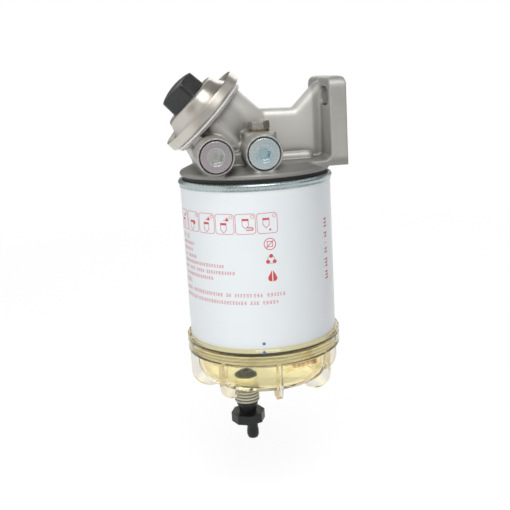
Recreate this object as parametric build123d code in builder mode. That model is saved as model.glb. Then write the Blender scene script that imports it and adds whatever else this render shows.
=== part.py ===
from build123d import *
from math import cos, pi, radians, sin, sqrt
import os

# Fuel water separator: a cast head with a hand primer pump, a spin-on canister and a clear sump bowl.
# Units are millimetres. The origin lies on the bracket's mounting face, midway between its two slots.
# +X points out of the mounting face, +Z is up, and the canister's axis stands at x = -face_to_axis.
# Heights named _h are measured up from the gasket seat under the head, and are negative below it.

# Frame
face_to_axis = 61.0
slot_to_seat = 50.3

# Clearances
thread_gap = 0.1
slip_gap = 0.3
inset_gap = 0.05

# Head casting: gasket disc and bracket deck
disc_r = 53.7
disc_chamfer = 0.9
disc_edge_low = 0.9
disc_edge_high = 3.1
crown_r = 43.0
deck_h = 7.7
deck_left = 8.0

# Head casting: mounting plate and its slots
plate_t = 12.0
plate_w = 66.0
plate_top_h = 63.7
plate_corner_r = 8.0
plate_top_round = 3.6
plate_foot_r = 2.0
slot_spacing = 34.5
slot_length = 20.5
slot_width = 12.4

# Head casting: web between the pump neck and the plate
web_t = 13.6
web_left = -20.0
web_left_h = 44.6
web_bend_x = 29.4
web_bend_h = 43.2
web_top_x = 46.4
web_top_h = 60.2
web_round = 6.4
web_blend = 1.5
arm_blend = 3.8

# Head casting: pump neck
pump_tilt = 45.0
pump_x = -30.2
pump_h = 39.8
neck_high = 28.0
neck_wide = 23.6
neck_straight = 14.0
neck_waist = 28.0
neck_waist_wide = 17.5
neck_end = 46.0
neck_end_high = 22.0
neck_end_wide = 9.0
flange_r = 30.4
flange_t = 2.2
flange_top = 1.0
foot_x = -20.5
foot_r_low = 22.8
foot_r_high = 28.0
foot_high_h = 20.0
chamber_r = 20.5
chamber_depth = 14.0
well_r = 17.0
well_depth = 17.0
conduit_r = 6.0
conduit_y = 21.0
conduit_low = 3.0
conduit_len = 36.0

# Head casting: ports
port_h = 16.5
inlet_x = -32.1
outlet_x = -0.2
boss_r = 12.7
boss_reach = 51.0
boss_edge = 0.6
bridge_y = 33.0
port_recess_r = 11.2
port_recess = 4.4
mouth_bevel = 0.6
port_thread_r = 8.25
port_thread_len = 16.0
gallery_r = 6.2
drill_r = 5.0
ledge_r = 4.5
ledge_y = 15.0
ledge_h = 9.2
ledge_end_x = 36.0

# Head casting: bleed pad
bleed_x = 0.9
bleed_y = -24.5
pad_w = 22.0
pad_d = 20.0
pad_top_h = 29.6
pad_round = 4.0

# Port plugs
plug_flange_r = 10.5
plug_flange_t = 2.9
plug_shank_len = 10.0
plug_face_r = 5.8
plug_face_depth = 0.8
plug_hex_af = 8.0
plug_hex_turn = 12.0
plug_hex_depth = 5.0
plug_chamfer = 0.5
plug_seal_t = 1.2

# Bleed screw
bleed_thread_r = 3.9
bleed_washer_r = 7.1
bleed_washer_t = 2.0
bleed_head_af = 13.0
bleed_head_t = 5.4
bleed_head_turn = -14.0
bleed_head_bevel = 0.7
bleed_shank_len = 9.0
bleed_tip = 1.2

# Pump cover
rim_r = 33.7
rim_high = 10.1
rim_lip_r = 33.3
rim_lip_round = 0.6
rim_turn_a = 4.6
rim_back = 1.5
groove_out_r = 29.2
groove_out_a = 8.3
groove_in_r = 28.2
groove_a = 7.7
sheet_t = 1.2
flare_r = 26.8
dome_r = 24.2
dome_waist_a = 11.4
dome_shoulder_r = 22.0
dome_top = 18.6
dome_round = 2.8

# Pump plunger and diaphragm
knob_collar_r = 15.8
knob_stop_r = 19.0
knob_stop_t = 1.7
grip_w = 24.1
grip_round = 4.2
grip_turn = 57.0
grip_high = 32.8
grip_taper = 3.0
grip_crown_r = 40.0
grip_edge = 0.9
stem_seat = 8.0
stem_r = 2.5
stem_nut_r = 4.3
stem_nut_t = 2.5
disc_plate_t = 1.2
upper_disc_r = 14.0
lower_disc_r = 13.0
rubber_t = 1.5
rubber_r = 29.0
rubber_bend = 2.0
disc_top = 6.6
pump_stroke = 9.0

# Pump valves
valve_plate_t = 2.0
valve_offset = 11.5
valve_r = 4.5
valve_t = 0.9
valve_stem_r = 1.4
valve_port_r = 1.0
valve_port_ring = 3.0
pump_spring_r = 5.6
pump_spring_wire = 1.3
pump_spring_turns = 3.5

# Centre nipple
nipple_r = 12.7
nipple_bore_r = 9.0
nipple_up = 7.0
nipple_down = 17.0
nipple_chamfer = 1.0

# Canister end plate, seam and gasket
seam_over = 1.2
seam_top = -2.3
seam_low = -7.3
seam_skirt_t = 0.45
seam_skirt = 1.2
seam_round = 1.6
seam_bulge = 0.6
groove_lip = 0.8
end_plate_top = -2.8
end_plate_t = 2.6
collar_r = 17.0
collar_len = 9.0
gasket_in_r = 46.4
gasket_out_r = 51.6
gasket_h = 6.0
inlet_hole_r = 3.6
inlet_ring_r = 30.0
inlet_count = 8

# Canister shell
shell_r = 54.0
shell_t = 0.8
shell_top = -6.2
shell_low = -119.7

# Filter element
cap_t = 1.6
cap_r = 45.5
cap_skirt = 4.0
cap_top = -18.0
media_r = 44.6
media_in_r = 22.5
media_len = 74.0
media_pleats = 36
media_t = 0.7
media_fold = 0.9
tube_r = 20.5
tube_t = 1.0
tube_hole_r = 3.0
tube_hole_rows = 4
tube_holes = 6
grommet_r = 17.0
grommet_t = 5.0

# Canister lower ring and filter support
ring_in_r = 47.9
ring_top = -107.5
support_t = 1.2
support_hole_r = 4.0
support_hole_ring = 34.0
support_holes = 8
support_seat_r = 42.0

# Bowl
bowl_neck_t = 2.8
bowl_neck_top = -109.0
bowl_rim_t = 2.5
bowl_rim_top = -116.6
bowl_rim_low = -129.8
bowl_rim_round = 1.2
bowl_cup_floor = -122.3
bowl_groove_h = -120.4
bowl_groove_w = 0.9
bowl_groove_depth = 0.5
bowl_wall_r = 50.0
bowl_wall_t = 3.0
bowl_floor_h = -154.5
bowl_corner_r = 15.0
seal_in_r = 48.4
seal_out_r = 53.4
fin_count = 8
fin_turn = 2.0
fin_t = 3.0
fin_r = 55.9
fin_corner_r = 14.0
fin_low = -158.6
fin_toe_r = 37.5
fin_heel_r = 31.0

# Drain
drain_x = -16.5
drain_y = -8.5
drain_neck_r = 9.3
drain_neck_root_r = 8.6
drain_neck_low = -171.3
drain_ring_pitch = 2.4
drain_ring_land = 0.96
drain_ring_slope = 0.48
drain_rings = 4
drain_bore_r = 6.6
seat_base_r = 8.25
seat_tip_r = 4.8
seat_high = 3.5
seat_edge = 1.2
seat_bore_r = 2.2
seat_spigot = 4.0
valve_top_gap = 2.0
o_ring_wire = 1.9
o_ring_drop = 3.4
cone_r = 8.0
cone_rim_t = 1.6
cone_low_r = 6.1
stem_chamfer = 1.0
cone_len = 8.4
hand_wheel_af = 23.4
hand_wheel_t = 7.0
hose_r = 4.1
hose_barb_r = 4.5
hose_len = 14.5
hose_plain_len = 6.5
barb_high = 9.0
barb_low = 12.3
hose_tip = 0.4
hose_bore_r = 2.1
hose_offset = 2.8

# Sensor port in the bowl floor
sensor_angle = 22.5
sensor_boss_r = 5.4
sensor_bore_r = 3.6
sensor_h = -156.3
sensor_in_r = 18.0
sensor_out_r = 43.0
sensor_slot_r = 2.4
sensor_plug_len = 17.0
sensor_head_r = 4.6
sensor_head_t = 2.4
sensor_ring_wire = 1.4
sensor_ring_places = (6.0, 14.5)
sensor_hex_r = 2.5

# Worked out from the sizes above
axis_x = -face_to_axis
seat_z = -slot_to_seat
plate_low_h = disc_edge_high
plate_mid_z = seat_z + (plate_low_h + plate_top_h) / 2
pump_tilt_rad = radians(pump_tilt)
lower_disc_a = disc_top - disc_plate_t - rubber_t - disc_plate_t
rim_low = flange_top + rubber_t
gasket_floor = -gasket_h
cap_low = cap_top - cap_t - media_len
seal_t = shell_low - bowl_cup_floor
seam_r = shell_r + seam_over
seam_skirt_r = shell_r + inset_gap + seam_skirt_t
bowl_rim_r = shell_r + slip_gap + bowl_rim_t
bowl_in_r = bowl_wall_r - bowl_wall_t
bowl_floor_in = bowl_floor_h + bowl_wall_t
bowl_corner_h = bowl_floor_h + bowl_corner_r
corner_in_r = bowl_corner_r - bowl_wall_t
corner_x = bowl_wall_r - bowl_corner_r
drain_stem_top = bowl_floor_in - seat_spigot - valve_top_gap
cone_top = drain_neck_low - slip_gap
wheel_top = cone_top - cone_len
wheel_low = wheel_top - hand_wheel_t
half_turn = sqrt(0.5)
crown_low = grip_high - grip_crown_r + sqrt(grip_crown_r**2 - knob_stop_r**2)

can_axis = Axis((axis_x, 0, 0), (0, 0, 1))
side = Plane(origin=(axis_x, 0, seat_z), x_dir=(1, 0, 0), z_dir=(0, -1, 0))
pump_dir = (-sin(pump_tilt_rad), 0, cos(pump_tilt_rad))
pump_across = (cos(pump_tilt_rad), 0, sin(pump_tilt_rad))
pump_origin = (axis_x + pump_x, 0, seat_z + pump_h)
pump_base = Plane(origin=pump_origin, x_dir=pump_across, z_dir=pump_dir)
pump_side = Plane(origin=pump_origin, x_dir=pump_across, z_dir=(0, -1, 0))
pump_axis = Axis(pump_origin, pump_dir)
drain_side = Plane(origin=(axis_x + drain_x, drain_y, seat_z), x_dir=(1, 0, 0), z_dir=(0, -1, 0))
drain_axis = Axis((axis_x + drain_x, drain_y, 0), (0, 0, 1))


def level(h, x=0.0, y=0.0):
    """Horizontal plane at height h over the gasket seat, centred x, y from the canister's axis."""
    return Plane(origin=(axis_x + x, y, seat_z + h))


def across(x):
    """Vertical plane square to X, at distance x from the canister's axis, local y up from the seat."""
    return Plane(origin=(axis_x + x, 0, seat_z), x_dir=(0, 1, 0), z_dir=(1, 0, 0))


def facing(x, y, h):
    """Vertical plane that faces the front, -Y, centred on x and h, at y."""
    return Plane(origin=(axis_x + x, y, seat_z + h), x_dir=(1, 0, 0), z_dir=(0, -1, 0))


def radial(angle):
    """Vertical plane through the canister's axis, local x outwards at the angle, local y up."""
    a = radians(angle)
    return Plane(origin=(axis_x, 0, seat_z), x_dir=(cos(a), sin(a), 0), z_dir=(sin(a), -cos(a), 0))


# Pump neck: an oval barrel, tilted, that narrows into the web
with BuildPart() as pump_neck:
    for depth, high, wide in (
        (0, neck_high, neck_wide),
        (neck_straight, neck_high, neck_wide),
        (neck_waist, neck_high, neck_waist_wide),
        (neck_end, neck_end_high, neck_end_wide),
    ):
        with BuildSketch(pump_base.offset(-depth)):
            Ellipse(high, wide)
    loft()

# Upright web with a rounded ridge that climbs to the top of the mounting plate
with BuildPart() as upright_web:
    with BuildSketch(side):
        with BuildLine():
            Polyline(
                (web_left, deck_h / 2),
                (web_left, web_left_h),
                (web_bend_x, web_bend_h),
                (web_top_x, web_top_h),
                (face_to_axis - plate_t / 2, web_top_h),
                (face_to_axis - plate_t / 2, deck_h / 2),
                close=True,
            )
        make_face()
    extrude(amount=web_t / 2, both=True)
    ridge = upright_web.edges().filter_by(
        lambda e: abs(e.center().Y) > web_t / 4 and e.center().Z > seat_z + web_bend_h
    )
    fillet(ridge, web_round)

# Mounting plate: round upper corners and a soft top
with BuildPart() as mounting_plate:
    with BuildSketch(Plane.YZ.offset(-plate_t)) as plate_face:
        with Locations((0, plate_mid_z)):
            Rectangle(plate_w, plate_top_h - plate_low_h)
        fillet(plate_face.vertices().group_by(Axis.Y)[-1], plate_corner_r)
        fillet(plate_face.vertices().group_by(Axis.Y)[0], plate_foot_r)
    extrude(amount=plate_t)
    with BuildSketch(side) as plate_edge:
        with Locations((face_to_axis - plate_t / 2, (plate_low_h + plate_top_h) / 2)):
            Rectangle(plate_t, plate_top_h - plate_low_h)
        fillet(plate_edge.vertices().group_by(Axis.Y)[-1], plate_top_round)
    extrude(amount=plate_w, both=True, mode=Mode.INTERSECT)

# Bracket arm: deck, mounting plate and web, blended where they meet
with BuildPart() as bracket_arm:
    with BuildSketch(level(plate_low_h, (deck_left + face_to_axis) / 2)):
        Rectangle(face_to_axis - deck_left, plate_w)
    extrude(amount=deck_h - plate_low_h)
    add(mounting_plate.part)
    inner_corner = bracket_arm.edges().filter_by(Axis.Y).filter_by_position(Axis.X, -plate_t, -plate_t)
    fillet(inner_corner.sort_by(lambda e: abs(e.center().Z - seat_z - deck_h))[0], arm_blend)
    add(upright_web.part)
    # Concave blends at the foot of the web and where it meets the plate
    with BuildSketch(across(web_left)):
        with GridLocations(web_t + web_blend, 0, 2, 1):
            with Locations((0, deck_h + web_blend / 2)):
                Rectangle(web_blend, web_blend)
        with GridLocations(web_t + 2 * web_blend, 0, 2, 1):
            with Locations((0, deck_h + web_blend)):
                Circle(web_blend, mode=Mode.SUBTRACT)
    extrude(amount=face_to_axis - plate_t - web_left)
    with BuildSketch(level(deck_h, face_to_axis - plate_t)):
        with GridLocations(0, web_t + web_blend, 1, 2):
            with Locations((-web_blend / 2, 0)):
                Rectangle(web_blend, web_blend)
        with GridLocations(0, web_t + 2 * web_blend, 1, 2):
            with Locations((-web_blend, 0)):
                Circle(web_blend, mode=Mode.SUBTRACT)
    extrude(amount=web_bend_h + web_top_x - web_bend_x - web_round - deck_h)
    with BuildSketch(Plane.YZ.offset(-plate_t)):
        with GridLocations(slot_spacing, 0, 2, 1):
            SlotOverall(slot_length, slot_width)
    extrude(amount=plate_t, mode=Mode.SUBTRACT)

# Bleed pad: a flat-topped block on the front half of the outlet boss
with BuildPart() as bleed_pad:
    with BuildSketch(level(port_h, bleed_x, bleed_y)):
        RectangleRounded(pad_w, pad_d, pad_round)
    extrude(amount=pad_top_h - port_h)

# Head casting: disc, deck, plate, saddle, neck, bosses and their machined holes, one aluminium piece
with BuildPart() as head_casting:
    with BuildSketch(side):
        with BuildLine():
            Polyline(
                (0, 0),
                (disc_r - disc_chamfer, 0),
                (disc_r, disc_edge_low),
                (disc_r, disc_edge_high),
                (crown_r, deck_h),
                (0, deck_h),
                close=True,
            )
        make_face()
    revolve(axis=can_axis)
    add(bracket_arm.part)
    add(pump_neck.part)
    # Foot under the neck
    with BuildSketch(side):
        with BuildLine():
            Polyline(
                (foot_x, deck_h / 2),
                (foot_x - foot_r_low, deck_h / 2),
                (foot_x - foot_r_low, deck_h),
                (foot_x - foot_r_high, foot_high_h),
                (foot_x, foot_high_h),
                close=True,
            )
        make_face()
    revolve(axis=Axis((axis_x + foot_x, 0, 0), (0, 0, 1)))
    # Flange that the pump cover closes on
    with BuildSketch(pump_base.offset(flange_top - flange_t)):
        Circle(flange_r)
    extrude(amount=flange_t)
    # Fuel conduits along the sides of the neck
    for y in (-conduit_y, conduit_y):
        with BuildSketch(pump_base.offset(flange_top - flange_t)):
            with Locations((-conduit_low, y)):
                Circle(conduit_r)
        extrude(amount=-conduit_len)
    # Port bosses, front to back, with the block that joins them
    for x in (inlet_x, outlet_x):
        with BuildSketch(facing(x, 0, port_h)):
            Circle(boss_r)
        extrude(amount=boss_reach - boss_edge, both=True)
        for y_dir in (-1, 1):
            rim = Plane(
                origin=(axis_x + x, y_dir * (boss_reach - boss_edge), seat_z + port_h),
                x_dir=(1, 0, 0),
                z_dir=(0, y_dir, 0),
            )
            with BuildSketch(rim):
                Circle(boss_r)
            extrude(amount=boss_edge, taper=45)
    with BuildSketch(level(deck_h / 2, (inlet_x + outlet_x) / 2)):
        Rectangle(outlet_x - inlet_x, 2 * bridge_y)
    extrude(amount=port_h - deck_h / 2)
    add(bleed_pad.part)
    # Low ledge over the outlet gallery, half sunk in the deck
    with BuildSketch(across(outlet_x)):
        with Locations((-ledge_y, ledge_h), (ledge_y, ledge_h)):
            Circle(ledge_r)
    extrude(amount=ledge_end_x - outlet_x)
    for y in (-ledge_y, ledge_y):
        with Locations((axis_x + ledge_end_x, y, seat_z + ledge_h)):
            Sphere(ledge_r)
    # Everything below the gasket seat is faced off
    with BuildSketch(level(0)):
        Circle(2 * disc_r)
    extrude(amount=-2 * boss_r, mode=Mode.SUBTRACT)
    # Port recesses, threads and galleries
    for x in (inlet_x, outlet_x):
        for y_dir in (-1, 1):
            mouth = Plane(
                origin=(axis_x + x, y_dir * boss_reach, seat_z + port_h),
                x_dir=(1, 0, 0),
                z_dir=(0, y_dir, 0),
            )
            with BuildSketch(mouth):
                Circle(port_recess_r)
            extrude(amount=-port_recess, mode=Mode.SUBTRACT)
            with BuildSketch(mouth):
                Circle(port_recess_r + mouth_bevel)
            extrude(amount=-mouth_bevel, taper=45, mode=Mode.SUBTRACT)
            with BuildSketch(mouth.offset(-port_recess)):
                Circle(port_thread_r)
            extrude(amount=-port_thread_len, mode=Mode.SUBTRACT)
        with BuildSketch(facing(x, 0, port_h)):
            Circle(gallery_r)
        extrude(amount=boss_reach, both=True, mode=Mode.SUBTRACT)
    # Pump chamber with the ledge for the valve plate, then the well below it
    with BuildSketch(pump_base.offset(flange_top)):
        Circle(chamber_r)
    extrude(amount=-(flange_top + chamber_depth), mode=Mode.SUBTRACT)
    with BuildSketch(pump_base.offset(-chamber_depth)):
        Circle(well_r)
    extrude(amount=-(well_depth - chamber_depth), mode=Mode.SUBTRACT)
    # Thread for the nipple, the way up to the outlet gallery, and the inlet's way down to the canister
    with BuildSketch(level(0)):
        Circle(nipple_r + thread_gap)
    extrude(amount=nipple_up, mode=Mode.SUBTRACT)
    with BuildSketch(level(nipple_up)):
        Circle(drill_r)
    extrude(amount=port_h - nipple_up, mode=Mode.SUBTRACT)
    with BuildSketch(level(0, inlet_x)):
        Circle(drill_r)
    extrude(amount=port_h, mode=Mode.SUBTRACT)
    # Bleed hole into the outlet gallery
    with BuildSketch(level(pad_top_h, bleed_x, bleed_y)):
        Circle(bleed_thread_r + thread_gap)
    extrude(amount=-(pad_top_h - port_h), mode=Mode.SUBTRACT)
head_casting.part.label = "head_casting"
os.makedirs("parts", exist_ok=True)
export_step(head_casting.part, "parts/head_casting.step")

# Centre nipple: the threaded stub that the canister screws on to
with BuildPart() as centre_nipple:
    with BuildSketch(level(nipple_up)):
        Circle(nipple_r)
        Circle(nipple_bore_r, mode=Mode.SUBTRACT)
    extrude(amount=-(nipple_up + nipple_down))
    chamfer(centre_nipple.edges().filter_by(GeomType.CIRCLE).sort_by(SortBy.RADIUS)[-2:], nipple_chamfer)
centre_nipple.part.label = "centre_nipple"
export_step(centre_nipple.part, "parts/centre_nipple.step")

# Port plugs: collared screws with a hexagon socket, each on its sealing ring in the front recesses
for name, x in (("port_plug_left", inlet_x), ("port_plug_right", outlet_x)):
    floor_y = -boss_reach + port_recess
    with BuildPart() as port_plug:
        with BuildSketch(facing(x, floor_y - plug_seal_t, port_h)):
            Circle(plug_flange_r)
        extrude(amount=plug_flange_t)
        chamfer(port_plug.faces().sort_by(Axis.Y)[0].edges(), plug_chamfer)
        with BuildSketch(facing(x, floor_y - plug_seal_t, port_h)):
            Circle(port_thread_r - thread_gap)
        extrude(amount=-(plug_shank_len + plug_seal_t))
        face = facing(x, floor_y - plug_seal_t - plug_flange_t, port_h)
        with BuildSketch(face):
            Circle(plug_face_r)
        extrude(amount=-plug_face_depth, mode=Mode.SUBTRACT)
        with BuildSketch(face):
            RegularPolygon(plug_hex_af / 2, 6, major_radius=False, rotation=plug_hex_turn)
        extrude(amount=-plug_hex_depth, mode=Mode.SUBTRACT)
    port_plug.part.label = name
    export_step(port_plug.part, f"parts/{name}.step")

for name, x in (("plug_seal_left", inlet_x), ("plug_seal_right", outlet_x)):
    with BuildPart() as plug_seal:
        with BuildSketch(facing(x, -boss_reach + port_recess, port_h)):
            Circle(plug_flange_r - inset_gap)
            Circle(port_thread_r + inset_gap, mode=Mode.SUBTRACT)
        extrude(amount=plug_seal_t)
    plug_seal.part.label = name
    export_step(plug_seal.part, f"parts/{name}.step")

# Bleed screw on its soft metal washer
with BuildPart() as bleed_washer:
    with BuildSketch(level(pad_top_h, bleed_x, bleed_y)):
        Circle(bleed_washer_r)
        Circle(bleed_thread_r + slip_gap, mode=Mode.SUBTRACT)
    extrude(amount=bleed_washer_t)
bleed_washer.part.label = "bleed_washer"
export_step(bleed_washer.part, "parts/bleed_washer.step")

with BuildPart() as bleed_screw:
    under_head = pad_top_h + bleed_washer_t
    with BuildSketch(level(under_head, bleed_x, bleed_y)):
        RegularPolygon(bleed_head_af / 2, 6, major_radius=False, rotation=bleed_head_turn)
    extrude(amount=bleed_head_t)
    with BuildSketch(level(under_head, bleed_x, bleed_y)):
        Circle(bleed_thread_r)
    extrude(amount=-bleed_shank_len)
    chamfer(bleed_screw.faces().sort_by(Axis.Z)[0].edges(), bleed_tip)
    chamfer(bleed_screw.faces().sort_by(Axis.Z)[-1].edges(), bleed_head_bevel)
bleed_screw.part.label = "bleed_screw"
export_step(bleed_screw.part, "parts/bleed_screw.step")

# Pump cover: one pressing with a rolled rim, a groove and a flared dome with a hole for the knob
with BuildPart() as pump_cover:
    hole_r = knob_collar_r + slip_gap
    shoulder_a = dome_top - dome_round
    lip_in = rim_lip_round * (1 - half_turn)
    round_in = dome_round * (1 - half_turn)
    with BuildSketch(pump_side):
        with BuildLine():
            Line((hole_r, dome_top), (dome_shoulder_r - dome_round, dome_top))
            ThreePointArc(
                (dome_shoulder_r - dome_round, dome_top),
                (dome_shoulder_r - round_in, dome_top - round_in),
                (dome_shoulder_r, shoulder_a),
            )
            ThreePointArc((dome_shoulder_r, shoulder_a), (dome_r, dome_waist_a), (flare_r, groove_a))
            Polyline(
                (flare_r, groove_a),
                (groove_in_r, groove_a),
                (groove_out_r, groove_out_a),
                (rim_lip_r - rim_lip_round, rim_high),
            )
            ThreePointArc(
                (rim_lip_r - rim_lip_round, rim_high),
                (rim_lip_r - lip_in, rim_high - lip_in),
                (rim_lip_r, rim_high - rim_lip_round),
            )
            Line((rim_lip_r, rim_high - rim_lip_round), (rim_r, rim_turn_a))
            ThreePointArc(
                (rim_r, rim_turn_a),
                (rim_r - sheet_t * (1 - half_turn), rim_turn_a - (rim_turn_a - rim_low) * half_turn),
                (rim_r - sheet_t, rim_low),
            )
            Polyline(
                (rim_r - sheet_t, rim_low),
                (rim_r - sheet_t - rim_back, flange_top),
                (rubber_r + inset_gap, flange_top),
                (rubber_r + inset_gap, rim_low),
                (dome_r - sheet_t, rim_low),
                (dome_r - sheet_t, dome_waist_a - sheet_t),
                (dome_shoulder_r - sheet_t, shoulder_a),
                (dome_shoulder_r - dome_round, dome_top - sheet_t),
                (hole_r, dome_top - sheet_t),
                (hole_r, dome_top),
            )
        make_face()
    revolve(axis=pump_axis)
pump_cover.part.label = "pump_cover"
export_step(pump_cover.part, "parts/pump_cover.step")

# Pump knob: a rounded square grip over a round collar with a stop under the dome
with BuildPart() as pump_knob:
    stop_top = dome_top - sheet_t - slip_gap
    with BuildSketch(pump_base.offset(stop_top - knob_stop_t)):
        Circle(knob_stop_r)
    extrude(amount=knob_stop_t)
    with BuildSketch(pump_base.offset(stop_top)):
        Circle(knob_collar_r)
    extrude(amount=dome_top - stop_top + slip_gap)
    with BuildSketch(pump_base.offset(dome_top + slip_gap)):
        RectangleRounded(grip_w, grip_w, grip_round, rotation=grip_turn)
    extrude(amount=grip_high - dome_top - slip_gap, taper=grip_taper)
    # Crowned end with a soft rim
    with BuildSketch(pump_side):
        with BuildLine():
            RadiusArc((0, grip_high), (knob_stop_r, crown_low), grip_crown_r)
            Polyline(
                (knob_stop_r, crown_low),
                (knob_stop_r, stop_top - knob_stop_t),
                (0, stop_top - knob_stop_t),
                (0, grip_high),
            )
        make_face()
    revolve(axis=pump_axis, mode=Mode.INTERSECT)
    crown_rim = pump_knob.edges().filter_by(lambda e: pump_base.to_local_coords(e.center()).Z > crown_low)
    fillet(crown_rim, grip_edge)
    with BuildSketch(pump_base.offset(stop_top - knob_stop_t)):
        Circle(stem_r + inset_gap)
    extrude(amount=stem_seat, mode=Mode.SUBTRACT)
pump_knob.part.label = "pump_knob"
export_step(pump_knob.part, "parts/pump_knob.step")

# Pump plunger: stem with the nut that holds the two discs on the diaphragm
with BuildPart() as pump_plunger:
    with BuildSketch(pump_base.offset(lower_disc_a - stem_nut_t)):
        Circle(stem_r)
    extrude(amount=dome_top - sheet_t - lower_disc_a + stem_nut_t)
    with BuildSketch(pump_base.offset(lower_disc_a - stem_nut_t)):
        RegularPolygon(stem_nut_r, 6)
    extrude(amount=stem_nut_t)
pump_plunger.part.label = "pump_plunger"
export_step(pump_plunger.part, "parts/pump_plunger.step")

with BuildPart() as diaphragm_disc_upper:
    with BuildSketch(pump_base.offset(disc_top - disc_plate_t)):
        Circle(upper_disc_r)
        Circle(stem_r + inset_gap, mode=Mode.SUBTRACT)
    extrude(amount=disc_plate_t)
diaphragm_disc_upper.part.label = "diaphragm_disc_upper"
export_step(diaphragm_disc_upper.part, "parts/diaphragm_disc_upper.step")

with BuildPart() as diaphragm_disc_lower:
    with BuildSketch(pump_base.offset(lower_disc_a)):
        Circle(lower_disc_r)
        Circle(stem_r + inset_gap, mode=Mode.SUBTRACT)
    extrude(amount=disc_plate_t)
diaphragm_disc_lower.part.label = "diaphragm_disc_lower"
export_step(diaphragm_disc_lower.part, "parts/diaphragm_disc_lower.step")

# Diaphragm: clamped under the cover's rim, held by the discs at its middle
with BuildPart() as pump_diaphragm:
    rubber_low = disc_top - disc_plate_t - rubber_t
    with BuildSketch(pump_side):
        with BuildLine():
            Polyline(
                (stem_r + inset_gap, rubber_low),
                (lower_disc_r + rubber_bend / 2, rubber_low),
                (chamber_r - rubber_bend, flange_top),
                (rubber_r, flange_top),
                (rubber_r, flange_top + rubber_t),
                (chamber_r - rubber_bend, flange_top + rubber_t),
                (lower_disc_r + rubber_bend / 2, rubber_low + rubber_t),
                (stem_r + inset_gap, rubber_low + rubber_t),
                close=True,
            )
        make_face()
    revolve(axis=pump_axis)
pump_diaphragm.part.label = "pump_diaphragm"
export_step(pump_diaphragm.part, "parts/pump_diaphragm.step")

# Return spring between the valve plate and the lower disc
with BuildPart() as pump_spring:
    spring_low = -chamber_depth + valve_plate_t + pump_spring_wire / 2
    spring_high = lower_disc_a - pump_spring_wire / 2
    with BuildLine() as coil:
        Helix(
            pitch=(spring_high - spring_low) / pump_spring_turns,
            height=spring_high - spring_low,
            radius=pump_spring_r,
            center=pump_base.offset(spring_low).origin,
            direction=pump_dir,
        )
    with BuildSketch(coil.line ^ 0):
        Circle(pump_spring_wire / 2)
    sweep(is_frenet=True)
pump_spring.part.label = "pump_spring"
export_step(pump_spring.part, "parts/pump_spring.step")

# Valve plate on the chamber's ledge, with an umbrella valve on each side of it
with BuildPart() as valve_plate:
    with BuildSketch(pump_base.offset(-chamber_depth)):
        Circle(chamber_r - slip_gap)
        with PolarLocations(valve_offset, 2):
            Circle(valve_stem_r + inset_gap, mode=Mode.SUBTRACT)
            with PolarLocations(valve_port_ring, 4, start_angle=45):
                Circle(valve_port_r, mode=Mode.SUBTRACT)
    extrude(amount=valve_plate_t)
valve_plate.part.label = "valve_plate"
export_step(valve_plate.part, "parts/valve_plate.step")

for name, x, face_a, grow in (
    ("inlet_valve", -valve_offset, -chamber_depth + valve_plate_t, 1),
    ("outlet_valve", valve_offset, -chamber_depth, -1),
):
    with BuildPart() as umbrella_valve:
        with BuildSketch(pump_base.offset(face_a)):
            with Locations((x, 0)):
                Circle(valve_r)
        extrude(amount=grow * valve_t)
        with BuildSketch(pump_base.offset(face_a)):
            with Locations((x, 0)):
                Circle(valve_stem_r)
        extrude(amount=-grow * valve_plate_t)
    umbrella_valve.part.label = name
    export_step(umbrella_valve.part, f"parts/{name}.step")

# Gasket: squeezed between the head's seat and the groove of the end plate
with BuildPart() as head_gasket:
    with BuildSketch(level(gasket_floor)):
        Circle(gasket_out_r)
        Circle(gasket_in_r, mode=Mode.SUBTRACT)
    extrude(amount=gasket_h)
head_gasket.part.label = "head_gasket"
export_step(head_gasket.part, "parts/head_gasket.step")

# End plate: a threaded collar, a ring of inlet holes, the gasket groove and the rolled seam
with BuildPart() as end_plate:
    with BuildSketch(side):
        with BuildLine():
            Polyline(
                (nipple_r + thread_gap, end_plate_top),
                (gasket_in_r - slip_gap, end_plate_top),
                (gasket_in_r - slip_gap, gasket_floor),
                (gasket_out_r + slip_gap, gasket_floor),
                (gasket_out_r + slip_gap, seam_top - groove_lip),
                (gasket_out_r + slip_gap + groove_lip, seam_top),
                (seam_r - seam_round, seam_top),
            )
            ThreePointArc(
                (seam_r - seam_round, seam_top),
                (seam_r, (seam_top + seam_low) / 2 + seam_bulge),
                (seam_skirt_r, seam_low + seam_skirt),
            )
            Polyline(
                (seam_skirt_r, seam_low + seam_skirt),
                (seam_skirt_r, seam_low),
                (shell_r + inset_gap, seam_low),
                (shell_r + inset_gap, shell_top),
                (shell_r - shell_t - inset_gap, shell_top),
                (shell_r - shell_t - inset_gap, gasket_floor - end_plate_t),
                (gasket_in_r - slip_gap - end_plate_t, gasket_floor - end_plate_t),
                (gasket_in_r - slip_gap - end_plate_t, end_plate_top - end_plate_t),
                (collar_r, end_plate_top - end_plate_t),
                (collar_r, end_plate_top - collar_len),
                (nipple_r + thread_gap, end_plate_top - collar_len),
                (nipple_r + thread_gap, end_plate_top),
            )
        make_face()
    revolve(axis=can_axis)
    with BuildSketch(level(end_plate_top)):
        with PolarLocations(inlet_ring_r, inlet_count):
            Circle(inlet_hole_r)
    extrude(amount=-end_plate_t, mode=Mode.SUBTRACT)
end_plate.part.label = "end_plate"
export_step(end_plate.part, "parts/end_plate.step")

# Canister shell: a drawn tube held in the seam above and in the bowl's cup below
with BuildPart() as canister_shell:
    with BuildSketch(level(shell_low)):
        Circle(shell_r)
        Circle(shell_r - shell_t, mode=Mode.SUBTRACT)
    extrude(amount=shell_top - shell_low)
canister_shell.part.label = "canister_shell"
export_step(canister_shell.part, "parts/canister_shell.step")

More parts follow.
